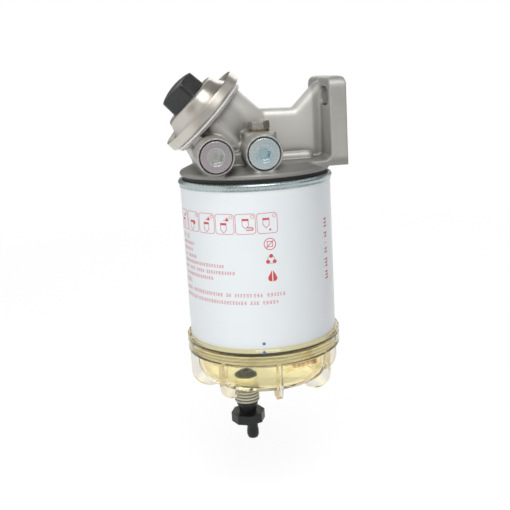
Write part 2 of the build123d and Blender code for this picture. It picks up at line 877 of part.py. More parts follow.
# Nipple grommet: the rubber ring that seals the element to the nipple
with BuildPart() as nipple_grommet:
    with BuildSketch(level(cap_top)):
        Circle(grommet_r)
        Circle(nipple_r + slip_gap, mode=Mode.SUBTRACT)
    extrude(amount=grommet_t)
nipple_grommet.part.label = "nipple_grommet"
export_step(nipple_grommet.part, "parts/nipple_grommet.step")

# Filter caps: shallow pressed lids over the ends of the pleats
with BuildPart() as filter_cap_top:
    with BuildSketch(level(cap_top)):
        Circle(cap_r)
        Circle(nipple_r + slip_gap, mode=Mode.SUBTRACT)
    extrude(amount=-cap_t)
    with BuildSketch(level(cap_top)):
        Circle(cap_r)
        Circle(media_r + inset_gap, mode=Mode.SUBTRACT)
    extrude(amount=-cap_t - cap_skirt)
filter_cap_top.part.label = "filter_cap_top"
export_step(filter_cap_top.part, "parts/filter_cap_top.step")

with BuildPart() as filter_cap_low:
    with BuildSketch(level(cap_low)):
        Circle(cap_r)
    extrude(amount=-cap_t)
    with BuildSketch(level(cap_low)):
        Circle(cap_r)
        Circle(media_r + inset_gap, mode=Mode.SUBTRACT)
    extrude(amount=cap_skirt)
filter_cap_low.part.label = "filter_cap_low"
export_step(filter_cap_low.part, "parts/filter_cap_low.step")

# Filter media: one sheet folded in and out around the core, between the two caps
with BuildPart() as filter_media:
    pleat = 2 * pi / media_pleats
    with BuildSketch(level(cap_low)):
        for skin, mode in ((1, Mode.ADD), (-1, Mode.SUBTRACT)):
            crest_r = media_r - (1 - skin) * media_t / 2
            valley_r = media_in_r + (1 + skin) * media_t / 2
            crest = (media_fold + skin * media_t / 2) / crest_r
            valley = (media_fold - skin * media_t / 2) / valley_r
            folds = []
            for i in range(media_pleats):
                for r, a in (
                    (crest_r, i * pleat - crest),
                    (crest_r, i * pleat + crest),
                    (valley_r, (i + 0.5) * pleat - valley),
                    (valley_r, (i + 0.5) * pleat + valley),
                ):
                    folds.append((r * cos(a), r * sin(a)))
            with BuildLine():
                Polyline(*folds, close=True)
            make_face(mode=mode)
    extrude(amount=media_len)
filter_media.part.label = "filter_media"
export_step(filter_media.part, "parts/filter_media.step")

# Centre tube: perforated core that keeps the pleats open
with BuildPart() as centre_tube:
    with BuildSketch(level(cap_low)):
        Circle(tube_r)
        Circle(tube_r - tube_t, mode=Mode.SUBTRACT)
    extrude(amount=media_len)
    for row in range(tube_hole_rows):
        hole_h = cap_low + media_len * (row + 0.5) / tube_hole_rows
        for k in range(tube_holes // 2):
            a = radians(180 * k / (tube_holes // 2))
            bar = Plane(
                origin=(axis_x, 0, seat_z + hole_h),
                x_dir=(-sin(a), cos(a), 0),
                z_dir=(cos(a), sin(a), 0),
            )
            with BuildSketch(bar):
                Circle(tube_hole_r)
            extrude(amount=2 * tube_r, both=True, mode=Mode.SUBTRACT)
centre_tube.part.label = "centre_tube"
export_step(centre_tube.part, "parts/centre_tube.step")

# Lower ring: threaded inside for the bowl, held in the foot of the shell
with BuildPart() as lower_ring:
    with BuildSketch(level(shell_low)):
        Circle(shell_r - shell_t - inset_gap)
        Circle(ring_in_r, mode=Mode.SUBTRACT)
    extrude(amount=ring_top - shell_low)
lower_ring.part.label = "lower_ring"
export_step(lower_ring.part, "parts/lower_ring.step")

# Filter support: a dished plate on the lower ring that carries the element and lets water fall
with BuildPart() as filter_support:
    dish_top = cap_low - cap_t
    with BuildSketch(side):
        with BuildLine():
            Polyline(
                (shell_r - shell_t - inset_gap, ring_top),
                (shell_r - shell_t - inset_gap, ring_top + support_t),
                (ring_in_r - support_t, ring_top + support_t),
                (support_seat_r, dish_top),
                (support_seat_r - 2 * support_t, dish_top),
                (support_seat_r - 2 * support_t, dish_top - support_t),
                (support_seat_r - support_t, dish_top - support_t),
                (ring_in_r - 2.5 * support_t, ring_top),
                close=True,
            )
        make_face()
    revolve(axis=can_axis)
    with BuildSketch(level(dish_top)):
        Circle(support_seat_r - support_t)
        with PolarLocations(support_hole_ring - 2 * support_hole_r, support_holes):
            Circle(support_hole_r, mode=Mode.SUBTRACT)
    extrude(amount=-support_t)
filter_support.part.label = "filter_support"
export_step(filter_support.part, "parts/filter_support.step")

# Bowl seal: the rubber ring under the canister's edge, in the cup of the bowl
with BuildPart() as bowl_seal:
    with BuildSketch(level(bowl_cup_floor)):
        Circle(seal_out_r)
        Circle(seal_in_r, mode=Mode.SUBTRACT)
    extrude(amount=seal_t)
bowl_seal.part.label = "bowl_seal"
export_step(bowl_seal.part, "parts/bowl_seal.step")

# Bowl: clear moulding with a cup rim, grip fins, a sensor port and a ribbed drain neck
with BuildPart() as bowl:
    with BuildSketch(side):
        with BuildLine():
            Polyline((0, bowl_floor_h), (corner_x, bowl_floor_h))
            ThreePointArc(
                (corner_x, bowl_floor_h),
                (corner_x + bowl_corner_r * half_turn, bowl_corner_h - bowl_corner_r * half_turn),
                (bowl_wall_r, bowl_corner_h),
            )
            Polyline(
                (bowl_wall_r, bowl_corner_h),
                (bowl_wall_r, bowl_rim_low),
                (bowl_rim_r - bowl_rim_round, bowl_rim_low),
                (bowl_rim_r, bowl_rim_low + bowl_rim_round),
                (bowl_rim_r, bowl_groove_h - bowl_groove_w / 2),
                (bowl_rim_r - bowl_groove_depth, bowl_groove_h),
                (bowl_rim_r, bowl_groove_h + bowl_groove_w / 2),
                (bowl_rim_r, bowl_rim_top - bowl_rim_round),
                (bowl_rim_r - bowl_rim_round, bowl_rim_top),
                (shell_r + slip_gap, bowl_rim_top),
                (shell_r + slip_gap, bowl_cup_floor),
                (ring_in_r - slip_gap, bowl_cup_floor),
                (ring_in_r - slip_gap, bowl_neck_top),
                (ring_in_r - slip_gap - bowl_neck_t, bowl_neck_top),
                (ring_in_r - slip_gap - bowl_neck_t, bowl_rim_low),
                (bowl_in_r, bowl_rim_low - bowl_wall_t),
                (bowl_in_r, bowl_corner_h),
            )
            ThreePointArc(
                (bowl_in_r, bowl_corner_h),
                (corner_x + corner_in_r * half_turn, bowl_corner_h - corner_in_r * half_turn),
                (corner_x, bowl_floor_in),
            )
            Polyline((corner_x, bowl_floor_in), (0, bowl_floor_in), (0, bowl_floor_h))
        make_face()
    revolve(axis=can_axis)
    # Grip fins, with their roots inside the wall
    root_r = bowl_corner_r - bowl_wall_t / 2
    for k in range(fin_count):
        with BuildSketch(radial(fin_turn + 360 / fin_count * k)):
            with BuildLine():
                Polyline(
                    (corner_x + root_r, bowl_corner_h),
                    (corner_x + root_r, bowl_rim_low + bowl_rim_round),
                    (fin_r, bowl_rim_low + bowl_rim_round),
                    (fin_r, fin_low + fin_corner_r),
                )
                ThreePointArc(
                    (fin_r, fin_low + fin_corner_r),
                    (
                        fin_r - fin_corner_r * (1 - half_turn),
                        fin_low + fin_corner_r * (1 - half_turn),
                    ),
                    (fin_r - fin_corner_r, fin_low),
                )
                Polyline(
                    (fin_r - fin_corner_r, fin_low),
                    (fin_toe_r, fin_low),
                    (fin_heel_r, bowl_floor_h + bowl_wall_t / 2),
                    (corner_x, bowl_floor_h + bowl_wall_t / 2),
                )
                ThreePointArc(
                    (corner_x, bowl_floor_h + bowl_wall_t / 2),
                    (corner_x + root_r * half_turn, bowl_corner_h - root_r * half_turn),
                    (corner_x + root_r, bowl_corner_h),
                )
            make_face()
        extrude(amount=fin_t / 2, both=True)
    # Drain neck with raised rings
    with BuildSketch(drain_side):
        with BuildLine():
            neck_top = bowl_floor_in - bowl_wall_t / 2
            neck = [(0, neck_top), (drain_neck_root_r, neck_top)]
            for k in range(drain_rings):
                ring_low = drain_neck_low + drain_ring_pitch * (drain_rings - 1 - k)
                land_low = ring_low + drain_ring_slope
                land_high = land_low + drain_ring_land
                neck.append((drain_neck_root_r, land_high + drain_ring_slope))
                neck.append((drain_neck_r, land_high))
                neck.append((drain_neck_r, land_low))
                neck.append((drain_neck_root_r, ring_low))
            Polyline(*neck, (0, drain_neck_low), close=True)
        make_face()
    revolve(axis=drain_axis)
    with BuildSketch(level(bowl_floor_in, drain_x, drain_y)):
        Circle(drain_bore_r)
    extrude(amount=drain_neck_low - bowl_floor_in, mode=Mode.SUBTRACT)
    # Sensor port: a level boss under the floor, open upwards into the bowl at its inner end
    angle = radians(sensor_angle)
    port = Plane(
        origin=(axis_x + sensor_out_r * cos(angle), sensor_out_r * sin(angle), seat_z + sensor_h),
        x_dir=(-sin(angle), cos(angle), 0),
        z_dir=(cos(angle), sin(angle), 0),
    )
    with BuildSketch(port):
        Circle(sensor_boss_r)
    extrude(amount=-(sensor_out_r - sensor_in_r))
    with BuildSketch(port):
        Circle(sensor_bore_r)
    extrude(amount=-(sensor_out_r - sensor_in_r - bowl_wall_t), mode=Mode.SUBTRACT)
    vent_r = sensor_in_r + bowl_wall_t + sensor_bore_r
    with BuildSketch(level(sensor_h, vent_r * cos(angle), vent_r * sin(angle))):
        Circle(sensor_slot_r)
    extrude(amount=bowl_wall_t + sensor_boss_r, mode=Mode.SUBTRACT)
bowl.part.label = "bowl"
export_step(bowl.part, "parts/bowl.step")

# Sensor plug: closes the port, with two rubber rings in its grooves
with BuildPart() as sensor_plug:
    with BuildSketch(port.offset(sensor_head_t)):
        Circle(sensor_head_r)
        RegularPolygon(sensor_hex_r, 6, mode=Mode.SUBTRACT)
    extrude(amount=-sensor_head_t)
    with BuildSketch(port):
        Circle(sensor_bore_r - thread_gap)
    extrude(amount=-sensor_plug_len)
    for depth in sensor_ring_places:
        with BuildSketch(port.offset(-depth)):
            Circle(sensor_bore_r)
            Circle(sensor_bore_r - sensor_ring_wire, mode=Mode.SUBTRACT)
        extrude(amount=sensor_ring_wire / 2 + inset_gap, both=True, mode=Mode.SUBTRACT)
sensor_plug.part.label = "sensor_plug"
export_step(sensor_plug.part, "parts/sensor_plug.step")

with BuildPart() as sensor_plug_rings:
    for depth in sensor_ring_places:
        with BuildSketch(port.offset(-depth)):
            Circle(sensor_bore_r - inset_gap)
            Circle(sensor_bore_r - sensor_ring_wire + inset_gap, mode=Mode.SUBTRACT)
        extrude(amount=sensor_ring_wire / 2, both=True)
sensor_plug_rings.part.label = "sensor_plug_rings"
export_step(sensor_plug_rings.part, "parts/sensor_plug_rings.step")

# Drain seat: a conical bush pressed into the floor from inside, which the valve closes against
with BuildPart() as drain_seat:
    with BuildSketch(drain_side):
        with BuildLine():
            Polyline(
                (seat_bore_r, bowl_floor_in - seat_spigot),
                (drain_bore_r - inset_gap, bowl_floor_in - seat_spigot),
                (drain_bore_r - inset_gap, bowl_floor_in),
                (seat_base_r, bowl_floor_in),
                (seat_base_r, bowl_floor_in + seat_edge),
                (seat_tip_r, bowl_floor_in + seat_high),
                (seat_bore_r, bowl_floor_in + seat_high),
                close=True,
            )
        make_face()
    revolve(axis=drain_axis)
drain_seat.part.label = "drain_seat"
export_step(drain_seat.part, "parts/drain_seat.step")

# Drain seal: the ring that rides in the valve's groove
groove_mid = drain_stem_top - o_ring_drop
with BuildPart() as drain_seal:
    with BuildSketch(drain_side):
        with Locations((drain_bore_r - inset_gap - o_ring_wire / 2, groove_mid)):
            Circle(o_ring_wire / 2)
    revolve(axis=drain_axis)
drain_seal.part.label = "drain_seal"
export_step(drain_seal.part, "parts/drain_seal.step")

# Drain valve: threaded stem, cone, eight-sided hand wheel and a hose tail set off its axis
with BuildPart() as drain_valve:
    stem_out = drain_bore_r - thread_gap
    groove_r = drain_bore_r - inset_gap - o_ring_wire - inset_gap
    groove_half = o_ring_wire / 2 + inset_gap
    with BuildSketch(drain_side):
        with BuildLine():
            Polyline(
                (0, drain_stem_top),
                (stem_out - stem_chamfer, drain_stem_top),
                (stem_out, drain_stem_top - stem_chamfer),
                (stem_out, groove_mid + groove_half),
                (groove_r, groove_mid + groove_half),
                (groove_r, groove_mid - groove_half),
                (stem_out, groove_mid - groove_half),
                (stem_out, cone_top),
                (cone_r, cone_top),
                (cone_r, cone_top - cone_rim_t),
                (cone_low_r, wheel_top),
                (cone_low_r, wheel_top - hand_wheel_t / 2),
                (0, wheel_top - hand_wheel_t / 2),
                close=True,
            )
        make_face()
    revolve(axis=drain_axis)
    with BuildSketch(level(wheel_low, drain_x, drain_y)):
        RegularPolygon(hand_wheel_af / 2, 8, major_radius=False)
    extrude(amount=hand_wheel_t)
    with BuildSketch(facing(drain_x + hose_offset, drain_y, 0)):
        with BuildLine():
            Polyline(
                (0, wheel_low + hand_wheel_t / 4),
                (hose_r, wheel_low + hand_wheel_t / 4),
                (hose_r, wheel_low - hose_plain_len),
                (hose_barb_r, wheel_low - barb_high),
                (hose_barb_r, wheel_low - barb_low),
                (hose_r - hose_tip, wheel_low - hose_len),
                (0, wheel_low - hose_len),
                close=True,
            )
        make_face()
    revolve(axis=Axis((axis_x + drain_x + hose_offset, drain_y, 0), (0, 0, 1)))
    with BuildSketch(level(wheel_low - hose_len, drain_x + hose_offset, drain_y)):
        Circle(hose_bore_r)
    extrude(amount=drain_stem_top - o_ring_drop * 2 - wheel_low + hose_len, mode=Mode.SUBTRACT)
drain_valve.part.label = "drain_valve"
export_step(drain_valve.part, "parts/drain_valve.step")
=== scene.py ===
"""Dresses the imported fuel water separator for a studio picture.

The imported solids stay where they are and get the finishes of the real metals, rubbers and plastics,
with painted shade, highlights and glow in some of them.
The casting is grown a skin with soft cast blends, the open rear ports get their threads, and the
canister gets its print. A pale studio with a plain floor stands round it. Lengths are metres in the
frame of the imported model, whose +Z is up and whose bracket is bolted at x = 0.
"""

import logging
import math
from dataclasses import dataclass, field
from enum import Enum
from typing import Sequence

import bmesh
import bpy
import numpy as np
from bmesh.types import BMesh, BMVert
from bpy.types import ID, Material, Mesh, Node, NodeSocket, Object
from mathutils import Matrix, Vector

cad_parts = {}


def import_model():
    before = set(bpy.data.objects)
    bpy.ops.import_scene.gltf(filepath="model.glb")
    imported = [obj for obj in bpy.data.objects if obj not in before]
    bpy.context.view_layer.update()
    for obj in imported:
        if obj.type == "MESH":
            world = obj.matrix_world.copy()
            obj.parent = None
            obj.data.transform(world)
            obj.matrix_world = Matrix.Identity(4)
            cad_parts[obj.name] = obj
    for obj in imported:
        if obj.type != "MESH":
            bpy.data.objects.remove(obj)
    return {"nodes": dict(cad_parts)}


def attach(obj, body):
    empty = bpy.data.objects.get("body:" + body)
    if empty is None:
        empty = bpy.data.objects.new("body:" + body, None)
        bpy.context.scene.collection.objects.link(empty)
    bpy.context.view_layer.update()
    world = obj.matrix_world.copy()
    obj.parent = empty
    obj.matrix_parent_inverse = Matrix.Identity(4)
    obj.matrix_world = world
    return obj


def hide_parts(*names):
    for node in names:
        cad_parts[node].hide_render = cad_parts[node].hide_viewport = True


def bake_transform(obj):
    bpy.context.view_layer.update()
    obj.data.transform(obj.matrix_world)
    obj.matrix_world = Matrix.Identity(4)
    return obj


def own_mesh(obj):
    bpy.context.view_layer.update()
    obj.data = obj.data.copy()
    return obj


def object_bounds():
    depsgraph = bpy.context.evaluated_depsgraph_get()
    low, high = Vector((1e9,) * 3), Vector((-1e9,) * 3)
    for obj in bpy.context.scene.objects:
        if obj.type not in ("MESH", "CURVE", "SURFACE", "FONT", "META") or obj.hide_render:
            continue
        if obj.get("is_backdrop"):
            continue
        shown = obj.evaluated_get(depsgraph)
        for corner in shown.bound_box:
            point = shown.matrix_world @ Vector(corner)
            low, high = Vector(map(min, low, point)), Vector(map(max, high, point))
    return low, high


LOG = logging.getLogger("separator")
MM = 0.001
AXIS_X = -61.0 * MM
SEAT_Z = -50.3 * MM

Point = tuple[float, float]
Triple = tuple[float, float, float]
Colour = tuple[float, float, float]
Nodes = dict[str, Object]

DRAIN_AXIS: Point = (AXIS_X - 16.5 * MM, -8.5 * MM)
PUMP_ORIGIN: Triple = (-91.2 * MM, 0.0, -10.5 * MM)
PUMP_AXIS: Triple = (-math.sqrt(0.5), 0.0, math.sqrt(0.5))
WHITE = (1.0, 1.0, 1.0, 1.0)


# Shader wiring


class Wiring:
    """Adds and joins the shader nodes of one material, or of the surroundings."""

    def __init__(self, name: str, around: bool = False) -> None:
        """Start with no nodes but the output.

        Args:
            name: the material's name.
            around: whether it wires the scene's surroundings in place of a material.
        """
        self.material = (bpy.data.worlds if around else bpy.data.materials).new(name)
        self.material.use_nodes = True
        self.tree = self.material.node_tree
        self.tree.nodes.clear()
        self.output = self.tree.nodes.new("ShaderNodeOutput" + ("World" if around else "Material"))

    def add(self, kind: str, inputs: dict | None = None, **settings: object) -> Node:
        """Add one shader node.

        Args:
            kind: the node's type, without its ShaderNode prefix.
            inputs: a value or an output socket for each named or numbered input.
            settings: values of the node's own properties.

        Returns:
            The new node.
        """
        node = self.tree.nodes.new("ShaderNode" + kind)
        for name, value in settings.items():
            setattr(node, name, value)
        for key, value in (inputs or {}).items():
            if isinstance(value, NodeSocket):
                self.tree.links.new(value, node.inputs[key])
            else:
                node.inputs[key].default_value = value
        return node

    def place(self) -> NodeSocket:
        """Return the place of the point in the part's own frame."""
        return self.add("TexCoord").outputs["Object"]

    def noise(self, scale: float, detail: float = 3.0, rough: float = 0.5) -> NodeSocket:
        """Return a noise in the part's frame by its lumps per metre, finer layers and their strength."""
        inputs = {"Vector": self.place(), "Scale": scale, "Detail": detail, "Roughness": rough}
        return self.add("TexNoise", inputs).outputs["Fac"]

    def calc(self, operation: str, a: object, b: object = 0.0) -> NodeSocket:
        """Return the result of a Math node for one or two numbers or sockets."""
        return self.add("Math", {0: a, 1: b}, operation=operation).outputs[0]

    def aim(self, operation: str, a: object, b: Triple = (0.0, 0.0, 0.0)) -> NodeSocket:
        """Return the result of a Vector Math node, as a number where the operation gives one."""
        node = self.add("VectorMath", {0: a, 1: b}, operation=operation)
        return node.outputs["Value" if operation in ("DOT_PRODUCT", "LENGTH", "DISTANCE") else "Vector"]

    def off(self, axis: Point) -> NodeSocket:
        """Return how far the point lies from an upright axis at x and y."""
        arm = self.aim("SUBTRACT", self.place(), (*axis, 0.0))
        return self.aim("LENGTH", self.aim("MULTIPLY", arm, (1.0, 1.0, 0.0)))

    def fit(self, value: NodeSocket, low: float, high: float, out_low: float = 0.0,
            out_high: float = 1.0) -> NodeSocket:
        """Return a number stretched from one range to another, clamped."""
        inputs = {0: value, 1: low, 2: high, 3: out_low, 4: out_high}
        return self.add("MapRange", inputs).outputs[0]

    def tint(self, factor: NodeSocket, under: Colour | NodeSocket, over: Colour) -> NodeSocket:
        """Lay one colour over another.

        Args:
            factor: how much of the upper colour shows.
            under: the colour underneath, or its socket.
            over: the upper colour.

        Returns:
            The blended colour's socket.
        """
        first = under if isinstance(under, NodeSocket) else (*under, 1.0)
        node = self.add("Mix", {"Factor": factor, "A": first, "B": (*over, 1.0)}, data_type="RGBA")
        return node.outputs["Result"]

    def bump(self, height: NodeSocket, depth: float, under: NodeSocket | None = None) -> NodeSocket:
        """Turn a height into a slope of the surface.

        Args:
            height: the height's socket, 0 to 1.
            depth: metres between height 0 and 1.
            under: the slope that lies underneath, if there is one.

        Returns:
            The slope's socket.
        """
        inputs: dict = {"Height": height, "Distance": depth, "Strength": 1.0}
        if under is not None:
            inputs["Normal"] = under
        return self.add("Bump", inputs).outputs[0]

    def eased(self, radius: float) -> NodeSocket:
        """Return a slope that rounds the sharp edges of a solid by a radius in metres."""
        return self.add("Bevel", {"Radius": radius}, samples=6).outputs[0]

    def edges(self, radius: float) -> NodeSocket:
        """Return 0 on the flat to about 1 on a sharp edge, as far as a radius in metres."""
        plain = self.add("NewGeometry").outputs["Normal"]
        return self.fit(self.aim("DOT_PRODUCT", self.eased(radius), plain), 0.99, 0.8)

    def hollows(self, reach: float, low: float = 0.35, high: float = 0.9) -> NodeSocket:
        """Return 0 in the open to 1 deep in a hollow, by how open the piece is within a reach in metres.
        """
        node = self.add("AmbientOcclusion", {"Distance": reach}, samples=6, only_local=True)
        return self.fit(node.outputs["AO"], low, high, 1.0, 0.0)

    def glow(self, colour: object, strength: float) -> NodeSocket:
        """Return a shader that shines with a colour, or the socket of one, at a strength."""
        return self.add("Emission", {"Color": colour, "Strength": strength}).outputs[0]

    def seen(self) -> NodeSocket:
        """Tell the rays that show the surroundings themselves: seen, mirrored or looked through.

        Returns:
            A number, 1 for such a ray and 0 for another.
        """
        rays = self.add("LightPath").outputs
        mirrored = self.calc("MAXIMUM", rays["Is Camera Ray"], rays["Is Glossy Ray"])
        return self.calc("MAXIMUM", mirrored, rays["Is Transmission Ray"])

    def pick(self, factor: NodeSocket, a: NodeSocket, b: NodeSocket) -> NodeSocket:
        """Return the first shader where the factor is 0 and the second where it is 1."""
        return self.add("MixShader", {0: factor, 1: a, 2: b}).outputs[0]

    def close(self, shader: NodeSocket) -> ID:
        """Join a shader to the output and return the material or the surroundings."""
        self.tree.links.new(shader, self.output.inputs["Surface"])
        return self.material

    def finish(self, inputs: dict) -> Material:
        """Close the material with a surface shader that has these inputs, and return it."""
        return self.close(self.add("BsdfPrincipled", inputs).outputs[0])


# Finishes


@dataclass(frozen=True)
class Finish:
    """What every finish has: its name. Each finish wires its own material once."""

    name: str

    def wire(self, w: Wiring) -> Material:
        """Wire the finish; each kind of finish has its own way."""
        raise NotImplementedError

    def material(self) -> Material:
        """Return the finish's material, wired at its first use."""
        return bpy.data.materials.get(self.name) or self.wire(Wiring(self.name))

    def dress(self, *pieces: Object) -> None:
        """Put the finish on pieces.

        Args:
            pieces: the meshes that get it.
        """
        made = self.material()
        for piece in pieces:
            if not piece.material_slots:
                piece.data.materials.append(made)
            for seat in piece.material_slots:
                seat.material = made


@dataclass(frozen=True)
class CastAlloy(Finish):
    """Grey die-cast aluminium with a lightly pitted skin and a fine grain, painted shade in its hollows
    and low down, and a painted pool of light on its web.
    """

    pale: Colour = (0.470, 0.460, 0.435)
    dark: Colour = (0.370, 0.360, 0.335)
    # Painted shade: the colour laid into the hollows of the casting.
    crevice_shade: Colour = (0.085, 0.078, 0.066)
    # Painted shade: the colour laid over the lowest few millimetres of the casting, up to the height
    # below.
    foot: Colour = (0.165, 0.16, 0.15)
    foot_high: float = SEAT_Z + 7.0 * MM
    # Painted light: the paler colour laid on the upper web, within the bounds below.
    web_light: Colour = (0.76, 0.75, 0.71)
    web_light_x: float = -17.0 * MM
    web_light_y: float = 21.0 * MM
    web_light_low: float = SEAT_Z + 9.0 * MM
    grain_per_m: float = 1500.0
    grain_depth: float = 0.00009
    pits_per_m: float = 260.0
    pit_depth: float = 0.00012
    hollow_reach: float = 8.0 * MM
    # How strongly the painted light on the web and the painted shade in the hollows are laid on.
    painted_strength: float = 0.62

    def wire(self, w: Wiring) -> Material:
        """Wire grain, cloudy tone, a little shine, painted shade low down and in the hollows, and a
        painted pool of light on the web.

        Args:
            w: the material's wiring.

        Returns:
            The finished material.
        """
        clouds = w.noise(38.0, 5.0, 0.6)
        grain = w.noise(self.grain_per_m, 2.0, 0.6)
        tone = w.calc("ADD", w.calc("MULTIPLY", clouds, 0.6), w.calc("MULTIPLY", grain, 0.4))
        colour = w.tint(w.fit(tone, 0.35, 0.65), self.dark, self.pale)
        # Painted light: a pale patch on the upper web, found by place in the part's frame.
        sides = w.add("SeparateXYZ", {0: w.place()}).outputs
        body = w.calc("MINIMUM", w.fit(sides["X"], self.web_light_x - 2.0 * MM, self.web_light_x, 1.0, 0.0),
                      w.fit(w.calc("ABSOLUTE", sides["Y"]), self.web_light_y - 3.0 * MM, self.web_light_y,
                            1.0, 0.0))
        body = w.calc("MINIMUM", body, w.fit(sides["Z"], self.web_light_low, self.web_light_low + 6.0 * MM))
        colour = w.tint(w.calc("MULTIPLY", body, self.painted_strength), colour, self.web_light)
        # Painted shade: darker towards the bottom of the casting.
        low = w.fit(sides["Z"], self.foot_high, self.foot_high + 3.0 * MM, 0.6, 0.0)
        colour = w.tint(low, colour, self.foot)
        # Painted shade: darker in the hollows, by ambient occlusion.
        colour = w.tint(w.calc("MULTIPLY", w.hollows(self.hollow_reach), self.painted_strength), colour, self.crevice_shade)
        slope = w.bump(grain, self.grain_depth)
        slope = w.bump(w.noise(self.pits_per_m, 3.0, 0.6), self.pit_depth, slope)
        return w.finish({"Base Color": colour, "Metallic": 0.55, "Normal": slope,
                         "Roughness": w.fit(grain, 0.3, 0.7, 0.38, 0.52), "IOR": 1.5})


@dataclass(frozen=True)
class TurnedSteel(Finish):
    """Plated steel that was turned: rings about an axis, a plated tint that drifts, and bright edges,
    partly wear and partly a painted highlight.
    """

    base: Colour
    tinge: Colour
    rough: float = 0.30
    edge_radius: float = 0.0003
    metal: float = 0.92
    hollow: Colour | None = None
    hollow_reach: float = 4.0 * MM
    scratches_per_m: float = 1800.0
    scratch_depth: float = 0.00002

    def wire(self, w: Wiring) -> Material:
        """Wire the drifting tint, the tint of its hollows, fine scratches and bright edges, partly worn
        and partly a painted highlight.

        Args:
            w: the material's wiring.

        Returns:
            The finished material.
        """
        drift = w.fit(w.noise(45.0, 1.0, 0.5), 0.38, 0.62)
        fine = w.noise(self.scratches_per_m, 3.0, 0.7)
        colour = w.tint(drift, self.base, self.tinge)
        if self.hollow is not None:
            colour = w.tint(w.hollows(self.hollow_reach, 0.4, 0.95), colour, self.hollow)
        # Bright edges: partly worn plating and partly a painted highlight.
        bright = tuple(min(1.0, c * 0.4 + 0.58) for c in self.base)
        colour = w.tint(w.edges(self.edge_radius), colour, bright)
        slope = w.bump(fine, self.scratch_depth, w.eased(self.edge_radius))
        return w.finish({"Base Color": colour, "Metallic": self.metal, "Normal": slope,
                         "Roughness": w.fit(fine, 0.3, 0.7, self.rough - 0.06, self.rough + 0.08)})


@dataclass(frozen=True)
class PolishedPressing(Finish):
    """Bright spun steel: fine rings about the pump's axis under a mirror polish, with painted shade in
    its hollows and a painted highlight on its lowest band.
    """

    base: Colour
    tinge: Colour
    origin: Triple = PUMP_ORIGIN
    axis: Triple = PUMP_AXIS
    # Painted shade: the dark brown laid into the hollows of the cover.
    crevice_shade: Colour = (0.11, 0.09, 0.07)
    # Painted highlight: the near-white laid on the lowest band of the cover, up to the distance below.
    lip_highlight: Colour = (0.95, 0.945, 0.93)
    lip_highlight_top: float = 2.35 * MM
    rough: float = 0.33
    hollow_reach: float = 6.0 * MM
    rings_per_m: float = 2600.0
    ring_depth: float = 0.000006

    def wire(self, w: Wiring) -> Material:
        """Wire the rings by their place along and off the axis, the painted shade in the hollows, and a
        painted near-white highlight on the lowest band of the cover, which is not metal.

        Args:
            w: the material's wiring.

        Returns:
            The finished material.
        """
        arm = w.aim("SUBTRACT", w.place(), self.origin)
        along = w.aim("DOT_PRODUCT", arm, self.axis)
        out = w.aim("CROSS_PRODUCT", arm, self.axis)
        ring = w.calc("ADD", along, w.aim("LENGTH", out))
        spun = w.add("TexNoise", {"W": ring, "Scale": self.rings_per_m, "Detail": 2.0, "Roughness": 0.7},
                     noise_dimensions="1D").outputs["Fac"]
        colour = w.tint(w.fit(w.noise(40.0, 2.0), 0.35, 0.65), self.base, self.tinge)
        # Painted shade: darker in the hollows, by ambient occlusion.
        crevice_shade = w.calc("MULTIPLY", w.hollows(self.hollow_reach, 0.45, 0.95), 0.85)
        colour = w.tint(crevice_shade, colour, self.crevice_shade)
        # Painted highlight: the lowest band of the cover turns near-white and mostly not metal.
        lit_lip = w.calc("LESS_THAN", along, self.lip_highlight_top)
        colour = w.tint(lit_lip, colour, self.lip_highlight)
        metal = w.calc("SUBTRACT", 1.0, w.calc("MULTIPLY", lit_lip, 0.85))
        return w.finish({"Base Color": colour, "Metallic": metal, "Normal": w.bump(spun, self.ring_depth),
                         "Tangent": w.aim("NORMALIZE", out), "Anisotropic": 0.8,
                         "Anisotropic Rotation": 0.25,
                         "Roughness": w.fit(spun, 0.3, 0.7, self.rough, self.rough + 0.08)})


@dataclass(frozen=True)
class Moulded(Finish):
    """Opaque moulded plastic or rubber with a fine grain and a painted highlight along its edges."""

    base: Colour
    rough: float = 0.42
    grain_per_m: float = 1100.0
    grain_depth: float = 0.00003
    edge_radius: float = 0.0004
    shine: float = 1.49

    def wire(self, w: Wiring) -> Material:
        """Wire the grain, a cloudy tone and a painted highlight along the edges.

        Args:
            w: the material's wiring.

        Returns:
            The finished material.
        """
        clouds = w.fit(w.noise(90.0, 4.0, 0.6), 0.35, 0.65)
        grain = w.noise(self.grain_per_m, 3.0, 0.6)
        pale = tuple(c * 1.35 + 0.004 for c in self.base)
        colour = w.tint(clouds, self.base, pale)
        # Painted highlight: a paler colour along the edges.
        edge_highlight = tuple(c * 1.8 + 0.012 for c in self.base)
        colour = w.tint(w.calc("MULTIPLY", w.edges(self.edge_radius), 0.6), colour, edge_highlight)
        slope = w.bump(grain, self.grain_depth, w.eased(self.edge_radius))
        return w.finish({"Base Color": colour, "Normal": slope, "IOR": self.shine,
                         "Roughness": w.fit(clouds, 0.0, 1.0, self.rough - 0.04, self.rough + 0.08)})


@dataclass(frozen=True)
class Enamel(Finish):
    """Gloss white enamel on drawn sheet, with a faint orange peel and a cooler drift."""

    base: Colour
    cool: Colour
    peel_per_m: float = 420.0
    peel_depth: float = 0.000012

    def wire(self, w: Wiring) -> Material:
        """Wire the drift of the white and the peel under a clear coat.

        Args:
            w: the material's wiring.

        Returns:
            The finished material.
        """
        colour = w.tint(w.fit(w.noise(16.0, 3.0), 0.35, 0.65), self.base, self.cool)
        slope = w.bump(w.noise(self.peel_per_m, 2.0), self.peel_depth)
        return w.finish({"Base Color": colour, "Normal": slope, "Coat Weight": 0.35,
                         "Coat Roughness": 0.12,
                         "Roughness": w.fit(w.noise(300.0), 0.3, 0.7, 0.30, 0.38)})


